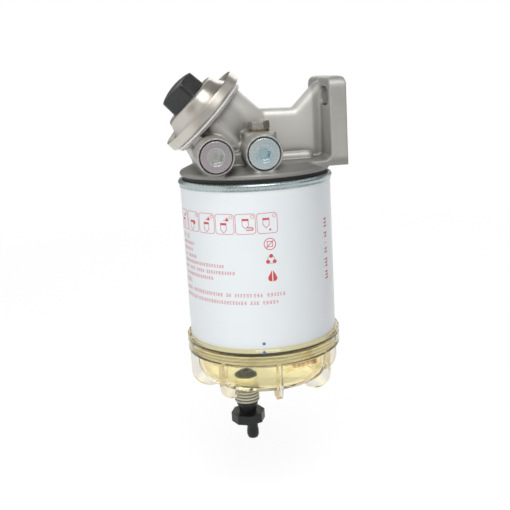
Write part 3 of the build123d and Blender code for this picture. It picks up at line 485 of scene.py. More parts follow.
@dataclass(frozen=True)
class ClearMoulding(Finish):
    """See-through moulded plastic: each wall looked through deepens its colour, most along its edges."""

    haze: Colour
    deep: Colour
    edge: Colour
    edge_radius: float = 0.0006
    bend: float = 1.18
    clear: float = 0.94
    rough: float = 0.03
    # Painted light: how strongly the plastic glows, though it is no lamp.
    glow: float = 0.0
    waves_per_m: float = 110.0
    wave_depth: float = 0.00003

    def skin(self, w: Wiring) -> tuple[NodeSocket, NodeSocket]:
        """Wire the colour with faint flow waves and warm edges.

        Args:
            w: the material's wiring.

        Returns:
            The colour's socket and the waves' socket.
        """
        waves = w.noise(self.waves_per_m, 3.0)
        clearer = tuple(1.0 - 0.85 * (1.0 - c) for c in self.haze)
        colour = w.tint(w.fit(waves, 0.3, 0.7), self.haze, clearer)
        slant = w.add("LayerWeight", {"Blend": 0.35}).outputs["Facing"]
        colour = w.tint(w.fit(slant, 0.15, 0.95), colour, self.deep)
        return w.tint(w.edges(self.edge_radius), colour, self.edge), waves

    def body(self, w: Wiring, waves: NodeSocket) -> dict[str, object]:
        """Wire how clear the plastic is and its painted glow, as inputs of the shader."""
        return {"Transmission Weight": self.clear, "Emission Strength": self.glow,
                "Roughness": w.fit(waves, 0.3, 0.7, self.rough, self.rough + 0.03)}

    def wire(self, w: Wiring) -> Material:
        """Wire the clear skin under a glossy coat, with a painted glow in its own haze colour.

        Args:
            w: the material's wiring.

        Returns:
            The finished material.
        """
        colour, waves = self.skin(w)
        return w.finish({"Base Color": colour, "IOR": self.bend, "Normal": w.bump(waves, self.wave_depth),
                         "Coat Weight": 0.6, "Coat Roughness": 0.04, "Coat IOR": 1.5,
                         "Emission Color": (*self.haze, 1.0), **self.body(w, waves)})


@dataclass(frozen=True)
class CloudedFloor(ClearMoulding):
    """See-through plastic that is clouded but for a round clear patch over a port."""

    port: Point = (0.0, 0.0)
    port_r: float = 0.010
    port_clear: float = 0.985
    port_rough: float = 0.03

    def body(self, w: Wiring, waves: NodeSocket) -> dict[str, object]:
        """Wire how clear the plastic is, and its painted glow, by the distance from the port.

        Args:
            w: the material's wiring.
            waves: the flow waves' socket.

        Returns:
            Sockets for the shader's clearness, painted glow and roughness.
        """
        # Painted light: the clouded part glows a little, the clear patch over the port not at all.
        reach = w.off(self.port)
        cloud = w.fit(w.calc("MULTIPLY", reach, reach), self.port_r ** 2, 2 * self.port_r ** 2)
        return {"Transmission Weight": w.fit(cloud, 0.0, 1.0, self.port_clear, self.clear),
                "Emission Strength": w.calc("MULTIPLY", cloud, self.glow),
                "Roughness": w.fit(cloud, 0.0, 1.0, self.port_rough, self.rough)}


@dataclass(frozen=True)
class BandedMoulding(ClearMoulding):
    """Clear plastic with bands by height that stand for a thread and a seal showing through it, partly
    painted highlight and painted shade.
    """

    bands: tuple[tuple[float, Colour], ...] = ()

    def skin(self, w: Wiring) -> tuple[NodeSocket, NodeSocket]:
        """Wire one soft band of colour after another by height above the canister's seat.

        Args:
            w: the material's wiring.

        Returns:
            The colour's socket and the waves' socket.
        """
        colour, waves = super().skin(w)
        height = w.add("SeparateXYZ", {0: w.place()}).outputs["Z"]
        low, high = self.bands[-1][0], self.bands[0][0]
        ramp = w.add("ValToRGB", {0: w.fit(height, SEAT_Z + low * MM, SEAT_Z + high * MM)})
        stops = ramp.color_ramp.elements
        while len(stops) < len(self.bands):
            stops.new(0.5)
        for stop, (h, tone) in zip(stops, reversed(self.bands)):
            stop.position = (h - low) / (high - low)
            stop.color = (*tone, 1.0)
        mixed = w.add("Mix", {"Factor": 1.0, "A": colour, "B": ramp.outputs["Color"]}, data_type="RGBA",
                      blend_type="MULTIPLY")
        return mixed.outputs["Result"], waves


@dataclass(frozen=True)
class RibbedMoulding(ClearMoulding):
    """Clouded plastic of the drain neck, with painted shade between its ribs."""

    axis: Point = DRAIN_AXIS
    groove_r: float = 8.7 * MM
    rib_r: float = 9.25 * MM
    groove_shade: Colour = (0.10, 0.095, 0.065)

    def skin(self, w: Wiring) -> tuple[NodeSocket, NodeSocket]:
        """Wire the painted shade of the grooves by the distance from the neck's axis.

        Args:
            w: the material's wiring.

        Returns:
            The colour's socket and the waves' socket.
        """
        colour, waves = super().skin(w)
        # Painted shade: darker between the ribs, by the distance from the axis.
        dark = w.fit(w.off(self.axis), self.groove_r, self.rib_r, 1.0, 0.0)
        return w.tint(dark, colour, self.groove_shade), waves


@dataclass(frozen=True)
class PleatPaper(Finish):
    """Resin-set filter paper with fibres."""

    base: Colour
    fibre: Colour
    fibres_per_m: float = 700.0
    fibre_depth: float = 0.0001

    def wire(self, w: Wiring) -> Material:
        """Wire fibres as a stretched noise.

        Args:
            w: the material's wiring.

        Returns:
            The finished material.
        """
        fibres = w.noise(self.fibres_per_m, 5.0, 0.75)
        colour = w.tint(w.fit(fibres, 0.35, 0.65), self.base, self.fibre)
        return w.finish({"Base Color": colour, "Roughness": w.fit(fibres, 0.3, 0.7, 0.8, 0.95),
                         "Normal": w.bump(fibres, self.fibre_depth)})


@dataclass(frozen=True)
class Ink(Finish):
    """Printed ink, a little thin in places."""

    base: Colour
    thin: Colour
    patches_per_m: float = 1400.0

    def wire(self, w: Wiring) -> Material:
        """Wire the patchy tone of a screen print.

        Args:
            w: the material's wiring.

        Returns:
            The finished material.
        """
        patch = w.noise(self.patches_per_m, 3.0)
        return w.finish({"Base Color": w.tint(w.fit(patch, 0.4, 0.7), self.base, self.thin),
                         "Roughness": w.fit(patch, 0.3, 0.7, 0.35, 0.5)})


class Look(Enum):
    """The finishes of the part."""

    CASTING = CastAlloy("cast_alloy_grained")
    # Painted shade: a near-black copy of the casting for the inside of the bolt slots.
    CASTING_SLOT = CastAlloy("cast_alloy_slot_shade", (0.055, 0.052, 0.046), (0.038, 0.036, 0.032))
    BLUE_ZINC = TurnedSteel("blue_zinc", (0.60, 0.66, 0.67), (0.52, 0.62, 0.65), 0.24, 0.0004, 0.92,
                            (0.40, 0.62, 0.68))
    GREY_ZINC = TurnedSteel("grey_zinc", (0.44, 0.44, 0.45), (0.47, 0.42, 0.45), 0.27, 0.0004, 0.92,
                            (0.60, 0.66, 0.60))
    DULL_ZINC = TurnedSteel("dull_zinc", (0.47, 0.46, 0.42), (0.39, 0.38, 0.34), 0.26)
    SOFT_WASHER = TurnedSteel("soft_washer", (0.25, 0.215, 0.125), (0.19, 0.165, 0.10), 0.42)
    SOFT_ALLOY = TurnedSteel("soft_alloy_ring", (0.55, 0.55, 0.54), (0.48, 0.48, 0.48), 0.40)
    SEAM_SHEET = TurnedSteel("seam_sheet", (0.44, 0.51, 0.515), (0.38, 0.445, 0.455), 0.25, 0.0001)
    WIRE = TurnedSteel("drawn_wire", (0.46, 0.46, 0.45), (0.38, 0.38, 0.37), 0.30, 0.0001)
    COVER = PolishedPressing("polished_pressing", (0.60, 0.57, 0.52), (0.54, 0.505, 0.45))
    BLACK = Moulded("satin_black", (0.008, 0.009, 0.0095), 0.36, shine=1.38)
    # The knob's wide edge radius rounds its edges and spreads the painted highlight on them.
    KNOB = Moulded("knob_black", (0.010, 0.011, 0.0115), 0.22, edge_radius=0.0016, shine=1.52)
    GREY = Moulded("dark_moulding", (0.055, 0.052, 0.045), 0.45)
    RUBBER = Moulded("black_rubber_skin", (0.010, 0.010, 0.010), 0.55, 900.0, 0.00002, 0.0002)
    ORANGE = Moulded("orange_moulding", (0.68, 0.26, 0.035), 0.35)
    WHITE = Enamel("gloss_enamel", (0.80, 0.835, 0.855), (0.785, 0.825, 0.85))
    AMBER = ClearMoulding("clear_amber", (0.955, 0.915, 0.68), (0.84, 0.69, 0.36), (0.74, 0.34, 0.06),
                          0.0012, bend=1.06, clear=0.985)
    AMBER_FIN = ClearMoulding("clear_amber_fin", (0.775, 0.77, 0.715), (0.84, 0.70, 0.40),
                              (0.76, 0.42, 0.10), 0.0010, bend=1.05)
    # Painted light: the clouded floor glows faintly.
    AMBER_FLOOR = CloudedFloor("clouded_amber_floor", (0.95, 0.91, 0.70), (0.84, 0.78, 0.52),
                               (0.84, 0.70, 0.40), bend=1.10, clear=0.62, rough=0.12, glow=0.06,
                               port=(-0.034, 0.000), port_r=0.020)
    # On the drain neck the pale edge colour paints highlight lines on the ribs.
    AMBER_NECK = RibbedMoulding("ribbed_amber_neck", (0.44, 0.42, 0.32), (0.36, 0.34, 0.24),
                                (0.70, 0.68, 0.56), 0.0005, bend=1.45, clear=0.30, rough=0.10)
    # Painted light: the clouded bore and the root of the drain neck glow, though they are no lamp.
    AMBER_BORE = ClearMoulding("clouded_amber_bore_glowing", (0.93, 0.89, 0.68), (0.86, 0.80, 0.56),
                               (0.88, 0.82, 0.58), 0.0005, bend=1.10, clear=0.10, rough=0.30, glow=0.66)
    # The rim's bands: the thread and seal behind the rim, with painted highlight and painted shade lines
    # among them.
    AMBER_RIM = BandedMoulding("banded_amber_rim", (0.96, 0.93, 0.76), (0.80, 0.70, 0.46),
                               (0.85, 0.70, 0.40), bands=(
        (-116.4, (0.95, 0.93, 0.80)), (-118.6, (0.90, 0.90, 0.82)), (-119.6, (0.36, 0.37, 0.32)),
        (-121.2, (0.36, 0.37, 0.32)), (-121.9, (0.72, 0.70, 0.58)), (-122.6, (0.25, 0.23, 0.15)),
        (-123.6, (0.30, 0.28, 0.19)), (-124.4, (0.52, 0.50, 0.38)), (-125.4, (0.22, 0.20, 0.12)),
        (-126.4, (0.50, 0.46, 0.35)), (-128.2, (0.55, 0.48, 0.36)), (-129.2, (0.80, 0.50, 0.24)),
        (-130.0, (0.85, 0.55, 0.28))))
    PAPER = PleatPaper("pleat_paper", (0.62, 0.50, 0.28), (0.70, 0.60, 0.38))
    RED_INK = Ink("red_ink", (0.55, 0.045, 0.055), (0.66, 0.12, 0.12))
    BLUE_INK = Ink("blue_ink", (0.07, 0.15, 0.42), (0.11, 0.20, 0.50))

    def dress(self, *pieces: Object) -> None:
        """Put this finish on pieces."""
        self.value.dress(*pieces)


# Mesh making


def placed(name: str, data: ID) -> Object:
    """Put a new object with a mesh, a lamp or a camera into the scene.

    Args:
        name: the object's name.
        data: its mesh, lamp or camera.

    Returns:
        The new object.
    """
    made = bpy.data.objects.new(name, data)
    bpy.context.scene.collection.objects.link(made)
    return made


def twin_of(node: Object, name: str) -> Object:
    """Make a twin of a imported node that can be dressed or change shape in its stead.

    Args:
        node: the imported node.
        name: the twin's name.

    Returns:
        The twin, which stands for the node.
    """
    twin = placed(name, node.data.copy())
    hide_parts(node.name)
    return twin


def coat(mesh: Mesh, looks: Sequence[Look]) -> None:
    """Give a mesh the materials of several finishes in place of its own.

    Args:
        mesh: the mesh, which is changed.
        looks: the finishes, in the order of its faces' numbers.
    """
    mesh.materials.clear()
    for look in looks:
        mesh.materials.append(look.value.material())


def circle(s: float, h: float, r: float, sides: int) -> list[Point]:
    """Return the corners of a round outline with its middle at s and h."""
    turns = [math.tau * k / sides for k in range(sides)]
    return [(s + r * math.cos(turn), h + r * math.sin(turn)) for turn in turns]


def piece_of(name: str, bm: BMesh, smooth_angle: float = 40.0) -> Object:
    """Turn a bmesh into an object of the scene.

    Args:
        name: the object's name.
        bm: the mesh, in metres in the part's frame; it is freed.
        smooth_angle: edges sharper than this many degrees stay sharp.

    Returns:
        The new object.
    """
    bmesh.ops.recalc_face_normals(bm, faces=bm.faces)
    mesh = bpy.data.meshes.new(name)
    bm.to_mesh(mesh)
    bm.free()
    mesh.shade_smooth()
    mesh.set_sharp_from_angle(angle=math.radians(smooth_angle))
    return placed(name, mesh)


def ride(piece: Object, body: str) -> Object:
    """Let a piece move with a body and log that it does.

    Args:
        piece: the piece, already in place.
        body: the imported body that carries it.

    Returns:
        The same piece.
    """
    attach(piece, body)
    LOG.info("piece %s rides on %s", piece.name, body)
    return piece


def dress(nodes: Nodes, looks: dict[Look, str]) -> None:
    """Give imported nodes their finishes, from each finish's node names with blanks between them."""
    for look, names in looks.items():
        look.dress(*(nodes[name] for name in names.split()))


def facing(thing: Object, place: Triple, aim: Vector, front: str) -> None:
    """Put a lamp or a board at its place, with its front axis towards a point."""
    thing.location = place
    thing.rotation_euler = (aim - Vector(place)).to_track_quat(front, "Y").to_euler()


def frame_about(axis: Vector) -> tuple[Vector, Vector]:
    """Find two directions square to an axis and to each other.

    Args:
        axis: the axis, of length 1.

    Returns:
        The two directions.
    """
    helper = Vector((0.0, 0.0, 1.0)) if abs(axis.z) < 0.9 else Vector((1.0, 0.0, 0.0))
    first = helper.cross(axis).normalized()
    return first, axis.cross(first).normalized()


@dataclass
class Thread:
    """One helical ridge that stands into a bore, tapered at both ends."""

    start: Vector
    axis: Vector
    radius: float
    depth: float
    pitch: float
    length: float
    steps: int = 36
    sunk: float = 0.1 * MM

    def into(self, bm: BMesh) -> None:
        """Add the ridge as a closed solid to a bmesh.

        Args:
            bm: the bmesh that gets it.
        """
        first, second = frame_about(self.axis)
        turns = (self.length - self.pitch) / self.pitch
        count = int(self.steps * turns)
        rows = []
        for i in range(count + 1):
            turn = math.tau * i / self.steps
            ease = min(1.0, i / self.steps * 2.0, (count - i) / self.steps * 2.0)
            out = first * math.cos(turn) + second * math.sin(turn)
            middle = self.start + self.axis * (self.pitch * (0.5 + i / self.steps))
            root = self.radius + self.sunk
            tip = self.radius - self.depth * (0.05 + 0.95 * ease)
            wide = self.pitch * 0.42
            corners = ((root, -wide), (tip, -wide * 0.22), (tip, wide * 0.22), (root, wide))
            rows.append([bm.verts.new(middle + out * r + self.axis * a) for r, a in corners])
        for low, high in zip(rows, rows[1:]):
            for k in range(4):
                bm.faces.new((low[k], low[(k + 1) % 4], high[(k + 1) % 4], high[k]))
        bm.faces.new(rows[0])
        bm.faces.new(rows[-1])


# Sub-assemblies


class Assembly:
    """One sub-assembly of the part."""

    def build(self, nodes: Nodes) -> None:
        """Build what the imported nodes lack, and dress them."""
        raise NotImplementedError


@dataclass
class CastHead(Assembly):
    """The head casting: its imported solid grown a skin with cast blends, and its threads."""

    voxel: float = 0.00085
    rounds: int = 4
    pull: float = 0.75
    most: float = 0.0007
    boss_x: tuple[float, float] = (-93.1 * MM, -61.2 * MM)
    boss_z: float = SEAT_Z + 16.5 * MM
    boss_reach: float = 51.0 * MM
    recess_r: float = 11.2 * MM
    recess_deep: float = 4.4 * MM
    thread_r: float = 8.25 * MM
    thread_long: float = 16.0 * MM
    thread_pitch: float = 1.5 * MM
    thread_deep: float = 0.55 * MM
    bleed: Triple = (-60.1 * MM, -24.5 * MM, SEAT_Z + 29.6 * MM)
    flange_low: float = -1.7 * MM
    chamber_r: float = 21.5 * MM
    slot_y: float = 17.25 * MM
    slot_long: float = 11.5 * MM
    slot_tall: float = 11.0 * MM
    slot_lip: float = 0.9 * MM
    # Bounds of the painted shade inside the bolt slots.
    shade_off: float = 0.8 * MM
    shade_back: float = -13.3 * MM
    shade_front: float = -0.6 * MM
    plate_back: float = -15.0 * MM
    seat_high: float = 1.9 * MM
    flange_r: float = 33.0 * MM
    chamber_deep: float = -21.0 * MM
    pad_r: float = 7.6 * MM

    def off_slots(self, co: np.ndarray) -> np.ndarray:
        """Return how far points lie outside the nearer bolt slot, negative inside it."""
        return np.maximum(np.abs(np.abs(co[:, 1]) - self.slot_y) - self.slot_long / 2,
                          np.abs(co[:, 2]) - self.slot_tall / 2)

    def machined(self, co: np.ndarray) -> np.ndarray:
        """Say where the casting was cut by a tool, so that its edges stay crisp there.

        Args:
            co: points, one row each.

        Returns:
            A number for each point, from 0 on a cut face to 1 on a cast one.
        """
        cast = np.ones(len(co))

        def keep(distance: np.ndarray, fade: float = 1.2 * MM) -> None:
            """Fade the blends out where a distance from a cut zone falls to nothing."""
            np.minimum(cast, np.clip(distance / fade, 0.0, 1.0), out=cast)

        keep(co[:, 2] - (SEAT_Z + self.seat_high))
        keep(-1.2 * MM - co[:, 0])
        for x in self.boss_x:
            off = np.hypot(co[:, 0] - x, co[:, 2] - self.boss_z)
            keep(np.maximum(off - (self.recess_r + 0.6 * MM),
                            self.boss_reach - 5.5 * MM - np.abs(co[:, 1])))
            keep(off - (self.thread_r + 0.8 * MM))
        arm = co - np.array(PUMP_ORIGIN)
        along = arm @ np.array(PUMP_AXIS)
        off = np.linalg.norm(arm - along[:, None] * np.array(PUMP_AXIS), axis=1)
        keep(np.maximum(self.flange_low - along, off - self.flange_r))
        keep(np.maximum(off - self.chamber_r, self.chamber_deep - along))
        keep(np.maximum(self.off_slots(co) - self.slot_lip, self.plate_back - co[:, 0]))
        away = np.hypot(co[:, 0] - self.bleed[0], co[:, 1] - self.bleed[1])
        keep(np.maximum(away - self.pad_r, self.bleed[2] - 0.6 * MM - co[:, 2]))
        return cast

    def skin(self, node: Object) -> Object:
        """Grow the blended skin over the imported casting.

        Args:
            node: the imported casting.

        Returns:
            The new casting, which stands for the node.
        """
        rough = placed("cast_head_rough", node.data.copy())
        grow = rough.modifiers.new("grow", "REMESH")
        grow.mode = "VOXEL"
        grow.voxel_size = self.voxel
        grow.use_smooth_shade = True
        graph = bpy.context.evaluated_depsgraph_get()
        mesh = bpy.data.meshes.new_from_object(rough.evaluated_get(graph))
        bpy.data.objects.remove(rough)
        self.relax(mesh)
        mesh.shade_smooth()
        self.slots(mesh)
        made = placed("cast_head", mesh)
        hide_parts("head_casting")
        return made

    def slots(self, mesh: Mesh) -> None:
        """Give the skin its two finishes: the grained casting, and painted shade inside the two bolt
        slots.

        Args:
            mesh: the skin, which is changed.
        """
        coat(mesh, (Look.CASTING, Look.CASTING_SLOT))
        centre = np.empty(len(mesh.polygons) * 3)
        mesh.polygons.foreach_get("center", centre)
        centre = centre.reshape(-1, 3)
        inside = ((self.off_slots(centre) < self.shade_off) & (centre[:, 0] > self.shade_back)
                  & (centre[:, 0] < self.shade_front))
        mesh.polygons.foreach_set("material_index", inside.astype(np.int32))

    def relax(self, mesh: Mesh) -> None:
        """Ease the skin's corners where the metal is as cast.

        Args:
            mesh: the skin, which is changed.
        """
        count = len(mesh.vertices)
        co = np.empty(count * 3)
        mesh.vertices.foreach_get("co", co)
        co = co.reshape(-1, 3)
        ends = np.empty(len(mesh.edges) * 2, np.int64)
        mesh.edges.foreach_get("vertices", ends)
        a, b = ends.reshape(-1, 2).T
        valence = np.maximum(np.bincount(a, minlength=count) + np.bincount(b, minlength=count), 1)
        start, cast = co.copy(), self.machined(co)
        for _ in range(self.rounds):
            total = np.empty_like(co)
            for k in range(3):
                total[:, k] = (np.bincount(a, weights=co[b, k], minlength=count)
                               + np.bincount(b, weights=co[a, k], minlength=count))
            co += (total / valence[:, None] - co) * (self.pull * cast)[:, None]
        move = co - start
        far = np.linalg.norm(move, axis=1)
        move *= np.minimum(1.0, self.most / np.maximum(far, 1e-12))[:, None]
        mesh.vertices.foreach_set("co", (start + move).ravel())
        mesh.update()

    def port_threads(self) -> Object:
        """Cut the threads of the two open rear ports.

        Returns:
            The threads of both ports.
        """
        bm = bmesh.new()
        for x in self.boss_x:
            start = Vector((x, self.boss_reach - self.recess_deep, self.boss_z))
            Thread(start, Vector((0.0, -1.0, 0.0)), self.thread_r, self.thread_deep, self.thread_pitch,
                   self.thread_long).into(bm)
        return piece_of("rear_port_threads", bm, 50.0)

    def build(self, nodes: Nodes) -> None:
        """Build and dress the head.

        Args:
            nodes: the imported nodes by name.
        """
        ride(self.skin(nodes["head_casting"]), "head")
        threads = self.port_threads()
        Look.CASTING.dress(threads)
        ride(threads, "head")
        dress(nodes, {Look.GREY_ZINC: "port_plug_left", Look.BLUE_ZINC: "port_plug_right centre_nipple",
                      Look.SOFT_ALLOY: "plug_seal_left plug_seal_right", Look.DULL_ZINC: "bleed_screw",
                      Look.SOFT_WASHER: "bleed_washer"})


@dataclass
class SpunCover:
    """The pump's cover, finely turned from a profile of radius and distance along the pump's axis."""

    turns: int = 192
    outer: tuple[Point, ...] = (
        (16.1, 18.2), (16.5, 18.6), (19.2, 18.6), (20.4, 18.3), (21.3, 17.6), (21.85, 16.6),
        (22.05, 15.6), (22.45, 14.4), (23.05, 13.0), (23.75, 11.8), (24.65, 10.5), (25.65, 9.2),
        (26.4, 8.3), (26.9, 7.85), (27.6, 7.7), (28.2, 7.75), (28.7, 8.0), (29.4, 8.4), (30.9, 9.15),
        (32.2, 9.85), (32.75, 10.1), (33.1, 10.05), (33.3, 9.8), (33.38, 9.4), (33.45, 8.0),
        (33.58, 6.2), (33.7, 4.7), (33.68, 4.1), (33.5, 3.5), (33.1, 2.95), (32.5, 2.6), (31.6, 2.45),
        (31.35, 2.3), (31.3, 2.1), (31.3, 0.9), (31.1, 0.7), (30.9, 0.7), (30.9, 1.0))
    inner: tuple[Point, ...] = (
        (29.05, 1.0), (29.05, 2.5), (23.0, 2.5), (23.0, 10.2), (20.8, 15.8), (19.2, 17.4), (16.1, 17.4))

    def build(self) -> Object:
        """Turn the profile about the pump's axis.

        Returns:
            The cover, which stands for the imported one.
        """
        origin, axis = Vector(PUMP_ORIGIN), Vector(PUMP_AXIS)
        side, other = frame_about(axis)
        bm = bmesh.new()
        rings = []
        for r, a in (*self.outer, *self.inner):
            ring = []
            for k in range(self.turns):
                turn = math.tau * k / self.turns
                out = side * math.cos(turn) + other * math.sin(turn)
                ring.append(bm.verts.new(origin + axis * (a * MM) + out * (r * MM)))
            rings.append(ring)
        for k, ring in enumerate(rings):
            after = rings[(k + 1) % len(rings)]
            for j in range(self.turns):
                n = (j + 1) % self.turns
                bm.faces.new((ring[j], ring[n], after[n], after[j]))
        cover = piece_of("pump_cover_spun", bm, 38.0)
        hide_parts("pump_cover")
        return cover


@dataclass
class PrimerPump(Assembly):
    """The hand pump: cover, knob, plunger, diaphragm, spring and valves."""

    cover: SpunCover = field(default_factory=SpunCover)
    rim_a: float = 1.5 * MM
    centre_a: float = 4.5 * MM
    spring_foot: float = -12.0 * MM
    spring_keep: float = 0.378

    def at(self, along: float) -> Vector:
        """Return the point on the pump's axis a distance out from its flange."""
        return Vector(PUMP_ORIGIN) + Vector(PUMP_AXIS) * along

    def build(self, nodes: Nodes) -> None:
        """Build and dress the pump.

        Args:
            nodes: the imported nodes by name.
        """
        spring = twin_of(nodes["pump_spring"], "pump_spring_coil")
        Look.WIRE.dress(spring)
        ride(spring, "head")
        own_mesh(spring)
        diaphragm = twin_of(nodes["pump_diaphragm"], "pump_diaphragm_sheet")
        Look.RUBBER.dress(diaphragm)
        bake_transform(diaphragm)
        LOG.info("piece %s blends from head to pump_button", diaphragm.name)
        cover = self.cover.build()
        Look.COVER.dress(cover)
        ride(cover, "head")
        dress(nodes, {Look.KNOB: "pump_knob", Look.GREY: "valve_plate",
                      Look.BLUE_ZINC: "pump_plunger diaphragm_disc_upper diaphragm_disc_lower",
                      Look.RUBBER: "inlet_valve outlet_valve"})


@dataclass
class CanisterPrint:
    """One colour of print on a round wall, drawn as thin raised ink in arc length and height."""

    wall_r: float = 54.0 * MM
    raised: float = 0.05 * MM
    sunk: float = 0.03 * MM
    longest: float = 3.0 * MM
    rows: tuple[tuple[float, float, float, float], ...] = (
        (-84, -72.5, -40.3, 2.9), (-84, -66.5, -45.0, 1.7), (-84, -69, -49.5, 1.7),
        (-84, -62.5, -54.0, 1.7), (-84, -37, -58.3, 1.7), (-84, -28.5, -62.8, 1.7),
        (-84, -45.5, -67.3, 1.7), (-84, -73, -72.4, 2.9), (-84, -17, -78.3, 1.9),
        (-14, 7, -78.3, 1.9), (-84, -66, -83.6, 1.9), (-63, 2, -83.6, 1.9))
    blocks: tuple[Point, ...] = ((-31.8, -39.5), (-41.8, -46.6), (-49.6, -50.6), (-53.0, -58.0),
                                 (-60.6, -67.8), (-69.6, -76.6))
    bm: BMesh = field(default_factory=bmesh.new)

    def at(self, s: float, h: float, r: float) -> Vector:
        """Return a place by arc length and height in millimetres, at radius r in metres."""
        turn = s * MM / self.wall_r
        return Vector((AXIS_X + r * math.sin(turn), -r * math.cos(turn), SEAT_Z + h * MM))

    def arc(self, degrees: float) -> float:
        """Return the arc length in millimetres from the front to an angle."""
        return math.radians(degrees) * self.wall_r / MM

    def both(self, s: float, h: float) -> tuple[BMVert, BMVert]:
        """Add a place's point on the ink's face and the one in the enamel under it."""
        return (self.bm.verts.new(self.at(s, h, self.wall_r + self.raised)),
                self.bm.verts.new(self.at(s, h, self.wall_r - self.sunk)))

    def fill(self, outline: Sequence[Point]) -> None:
        """Add a filled convex patch of ink.

        Args:
            outline: its corners as arc length and height, in millimetres.
        """
        pairs = [self.both(s, h) for s, h in outline]
        self.bm.faces.new([p[0] for p in pairs])
        self.bm.faces.new([p[1] for p in reversed(pairs)])
        for (a, b), (c, d) in zip(pairs, pairs[1:] + pairs[:1]):
            self.bm.faces.new((a, b, d, c))

    def stroke(self, line: Sequence[Point], width: float, closed: bool = False) -> None:
        """Add a mitred line of ink.

        Args:
            line: the line's points as arc length and height, in millimetres.
            width: the line's width in millimetres.
            closed: whether the line runs back to its first point.
        """
        points = self.divided(line, closed)
        count = len(points)
        rows = []
        for i, here in enumerate(points):
            before = points[i - 1] if closed or i else here
            after = points[(i + 1) % count] if closed or i < count - 1 else here
            run_in = (here - before).normalized() if before != here else (after - here).normalized()
            run_out = (after - here).normalized() if after != here else run_in
            side = Vector((-(run_in + run_out).y, (run_in + run_out).x)).normalized()
            reach = width / 2 / max(0.5, side.dot(Vector((-run_in.y, run_in.x))))
            left, right = here + side * reach, here - side * reach
            rows.append((*self.both(*left), *self.both(*right)))
        steps = list(zip(rows, rows[1:])) + ([(rows[-1], rows[0])] if closed else [])
        for (a, b, c, d), (e, f, g, k) in steps:
            for quad in ((a, e, g, c), (b, d, k, f), (a, b, f, e), (c, g, k, d)):
                self.bm.faces.new(quad)
        if not closed:
            for a, b, c, d in (rows[0], rows[-1]):
                self.bm.faces.new((a, b, d, c))

    def divided(self, line: Sequence[Point], closed: bool) -> list[Vector]:
        """Divide a line so that it follows the round wall.

        Args:
            line: the line's corners.
            closed: whether it runs back to the first.

        Returns:
            The corners and the points between them.
        """
        corners = [Vector(p) for p in line]
        runs = list(zip(corners, corners[1:] + corners[:1] if closed else corners[1:]))
        points = []
        for a, b in runs:
            parts = max(1, math.ceil(abs(b.x - a.x) * MM / self.longest))
            points += [a.lerp(b, i / parts) for i in range(parts)]
        return points if closed else points + [corners[-1]]

    def dot(self, s: float, h: float, r: float, sides: int = 14) -> None:
        """Add a filled round spot of ink of radius r millimetres."""
        self.fill(circle(s, h, r, sides))

    def ring(self, s: float, h: float, r: float, width: float, sides: int = 22) -> None:
        """Add a ring of ink with middle radius r millimetres."""
        self.stroke(circle(s, h, r, sides), width, closed=True)

    def frame(self, s: float, h: float, size: float, corner: float) -> None:
        """Add the rounded outline of one pictogram.

        Args:
            s: arc length of its centre.
            h: height of its centre.
            size: its width and height.
            corner: radius of its corners.
        """
        half = size / 2 - corner
        line = []
        for k, (cs, ch) in enumerate(((half, half), (-half, half), (-half, -half), (half, -half))):
            for j in range(4):
                turn = math.pi / 2 * (k + j / 3)
                line.append((s + cs + corner * math.cos(turn), h + ch + corner * math.sin(turn)))
        self.stroke(line, 0.32, closed=True)
        self.ring(s + half - 0.2, h + half - 0.2, 1.05, 0.26, 12)

    def canister_sign(self, s: float, h: float, wide: float, tall: float) -> None:
        """Add the small sign of a filter with a pointed bowl.

        Args:
            s: arc length of its middle.
            h: height of its top.
            wide: its width.
            tall: its height.
        """
        half = wide / 2
        self.fill([(s - half, h - 1.5), (s + half, h - 1.5), (s + half, h), (s - half, h)])
        self.stroke([(s - half + 0.2, h - 1.3), (s - half + 0.2, h - tall * 0.68), (s, h - tall),
                         (s + half - 0.2, h - tall * 0.68), (s + half - 0.2, h - 1.3)], 0.36)

    def row(self, left: float, right: float, h: float, tall: float, seed: int) -> None:
        """Add one row of small marks that stands for a line of small print.

        Args:
            left: where the row starts, in degrees round the canister.
            right: where it ends.
            h: height of its middle.
            tall: height of the marks.
            seed: picks the marks' widths and gaps.
        """
        draw = np.random.default_rng(seed)
        s, end = self.arc(left), self.arc(right)
        while s < end:
            wide = float(draw.uniform(1.5, 2.3))
            if draw.random() > 0.08:
                low = tall / 2
                for level in (low, 0.0, -low):
                    inset = float(draw.uniform(0.0, 0.5))
                    self.stroke([(s + inset, h + level), (s + wide - 0.3, h + level)], 0.26)
                upright = s + float(draw.uniform(0.3, 0.7)) * wide
                self.stroke([(upright, h - low), (upright, h + low)], 0.24)
            s += wide + 0.25

    def signs(self) -> None:
        """Draw the row of framed pictograms."""
        for k in range(6):
            s, h = self.arc(-79.6 + 15.6 * k), -28.9
            self.frame(s, h, 13.6, 1.8)
            self.canister_sign(s - 0.8 if k % 2 else s, h + (3.6 if k in (4, 5) else 0.8), 4.6, 6.8)
            if k in (0, 2, 3):
                self.fill([(s + 0.6, h + 2.0), (s + 3.4, h + 2.2), (s + 2.2, h + 4.9)])
                self.stroke([(s - 0.6, h + 2.4), (s + 1.0, h + 3.2)], 0.36)
            elif k == 4:
                self.stroke([(s + 1.0, h - 2.5), (s + 4.6, h - 2.5), (s + 5.0, h - 3.3),
                             (s + 4.6, h - 4.1), (s + 0.4, h - 4.1)], 0.7)
            elif k == 5:
                self.dot(s + 1.8, h - 4.4, 0.7)
            else:
                self.dot(s + 1.6, h - 0.6, 1.5)

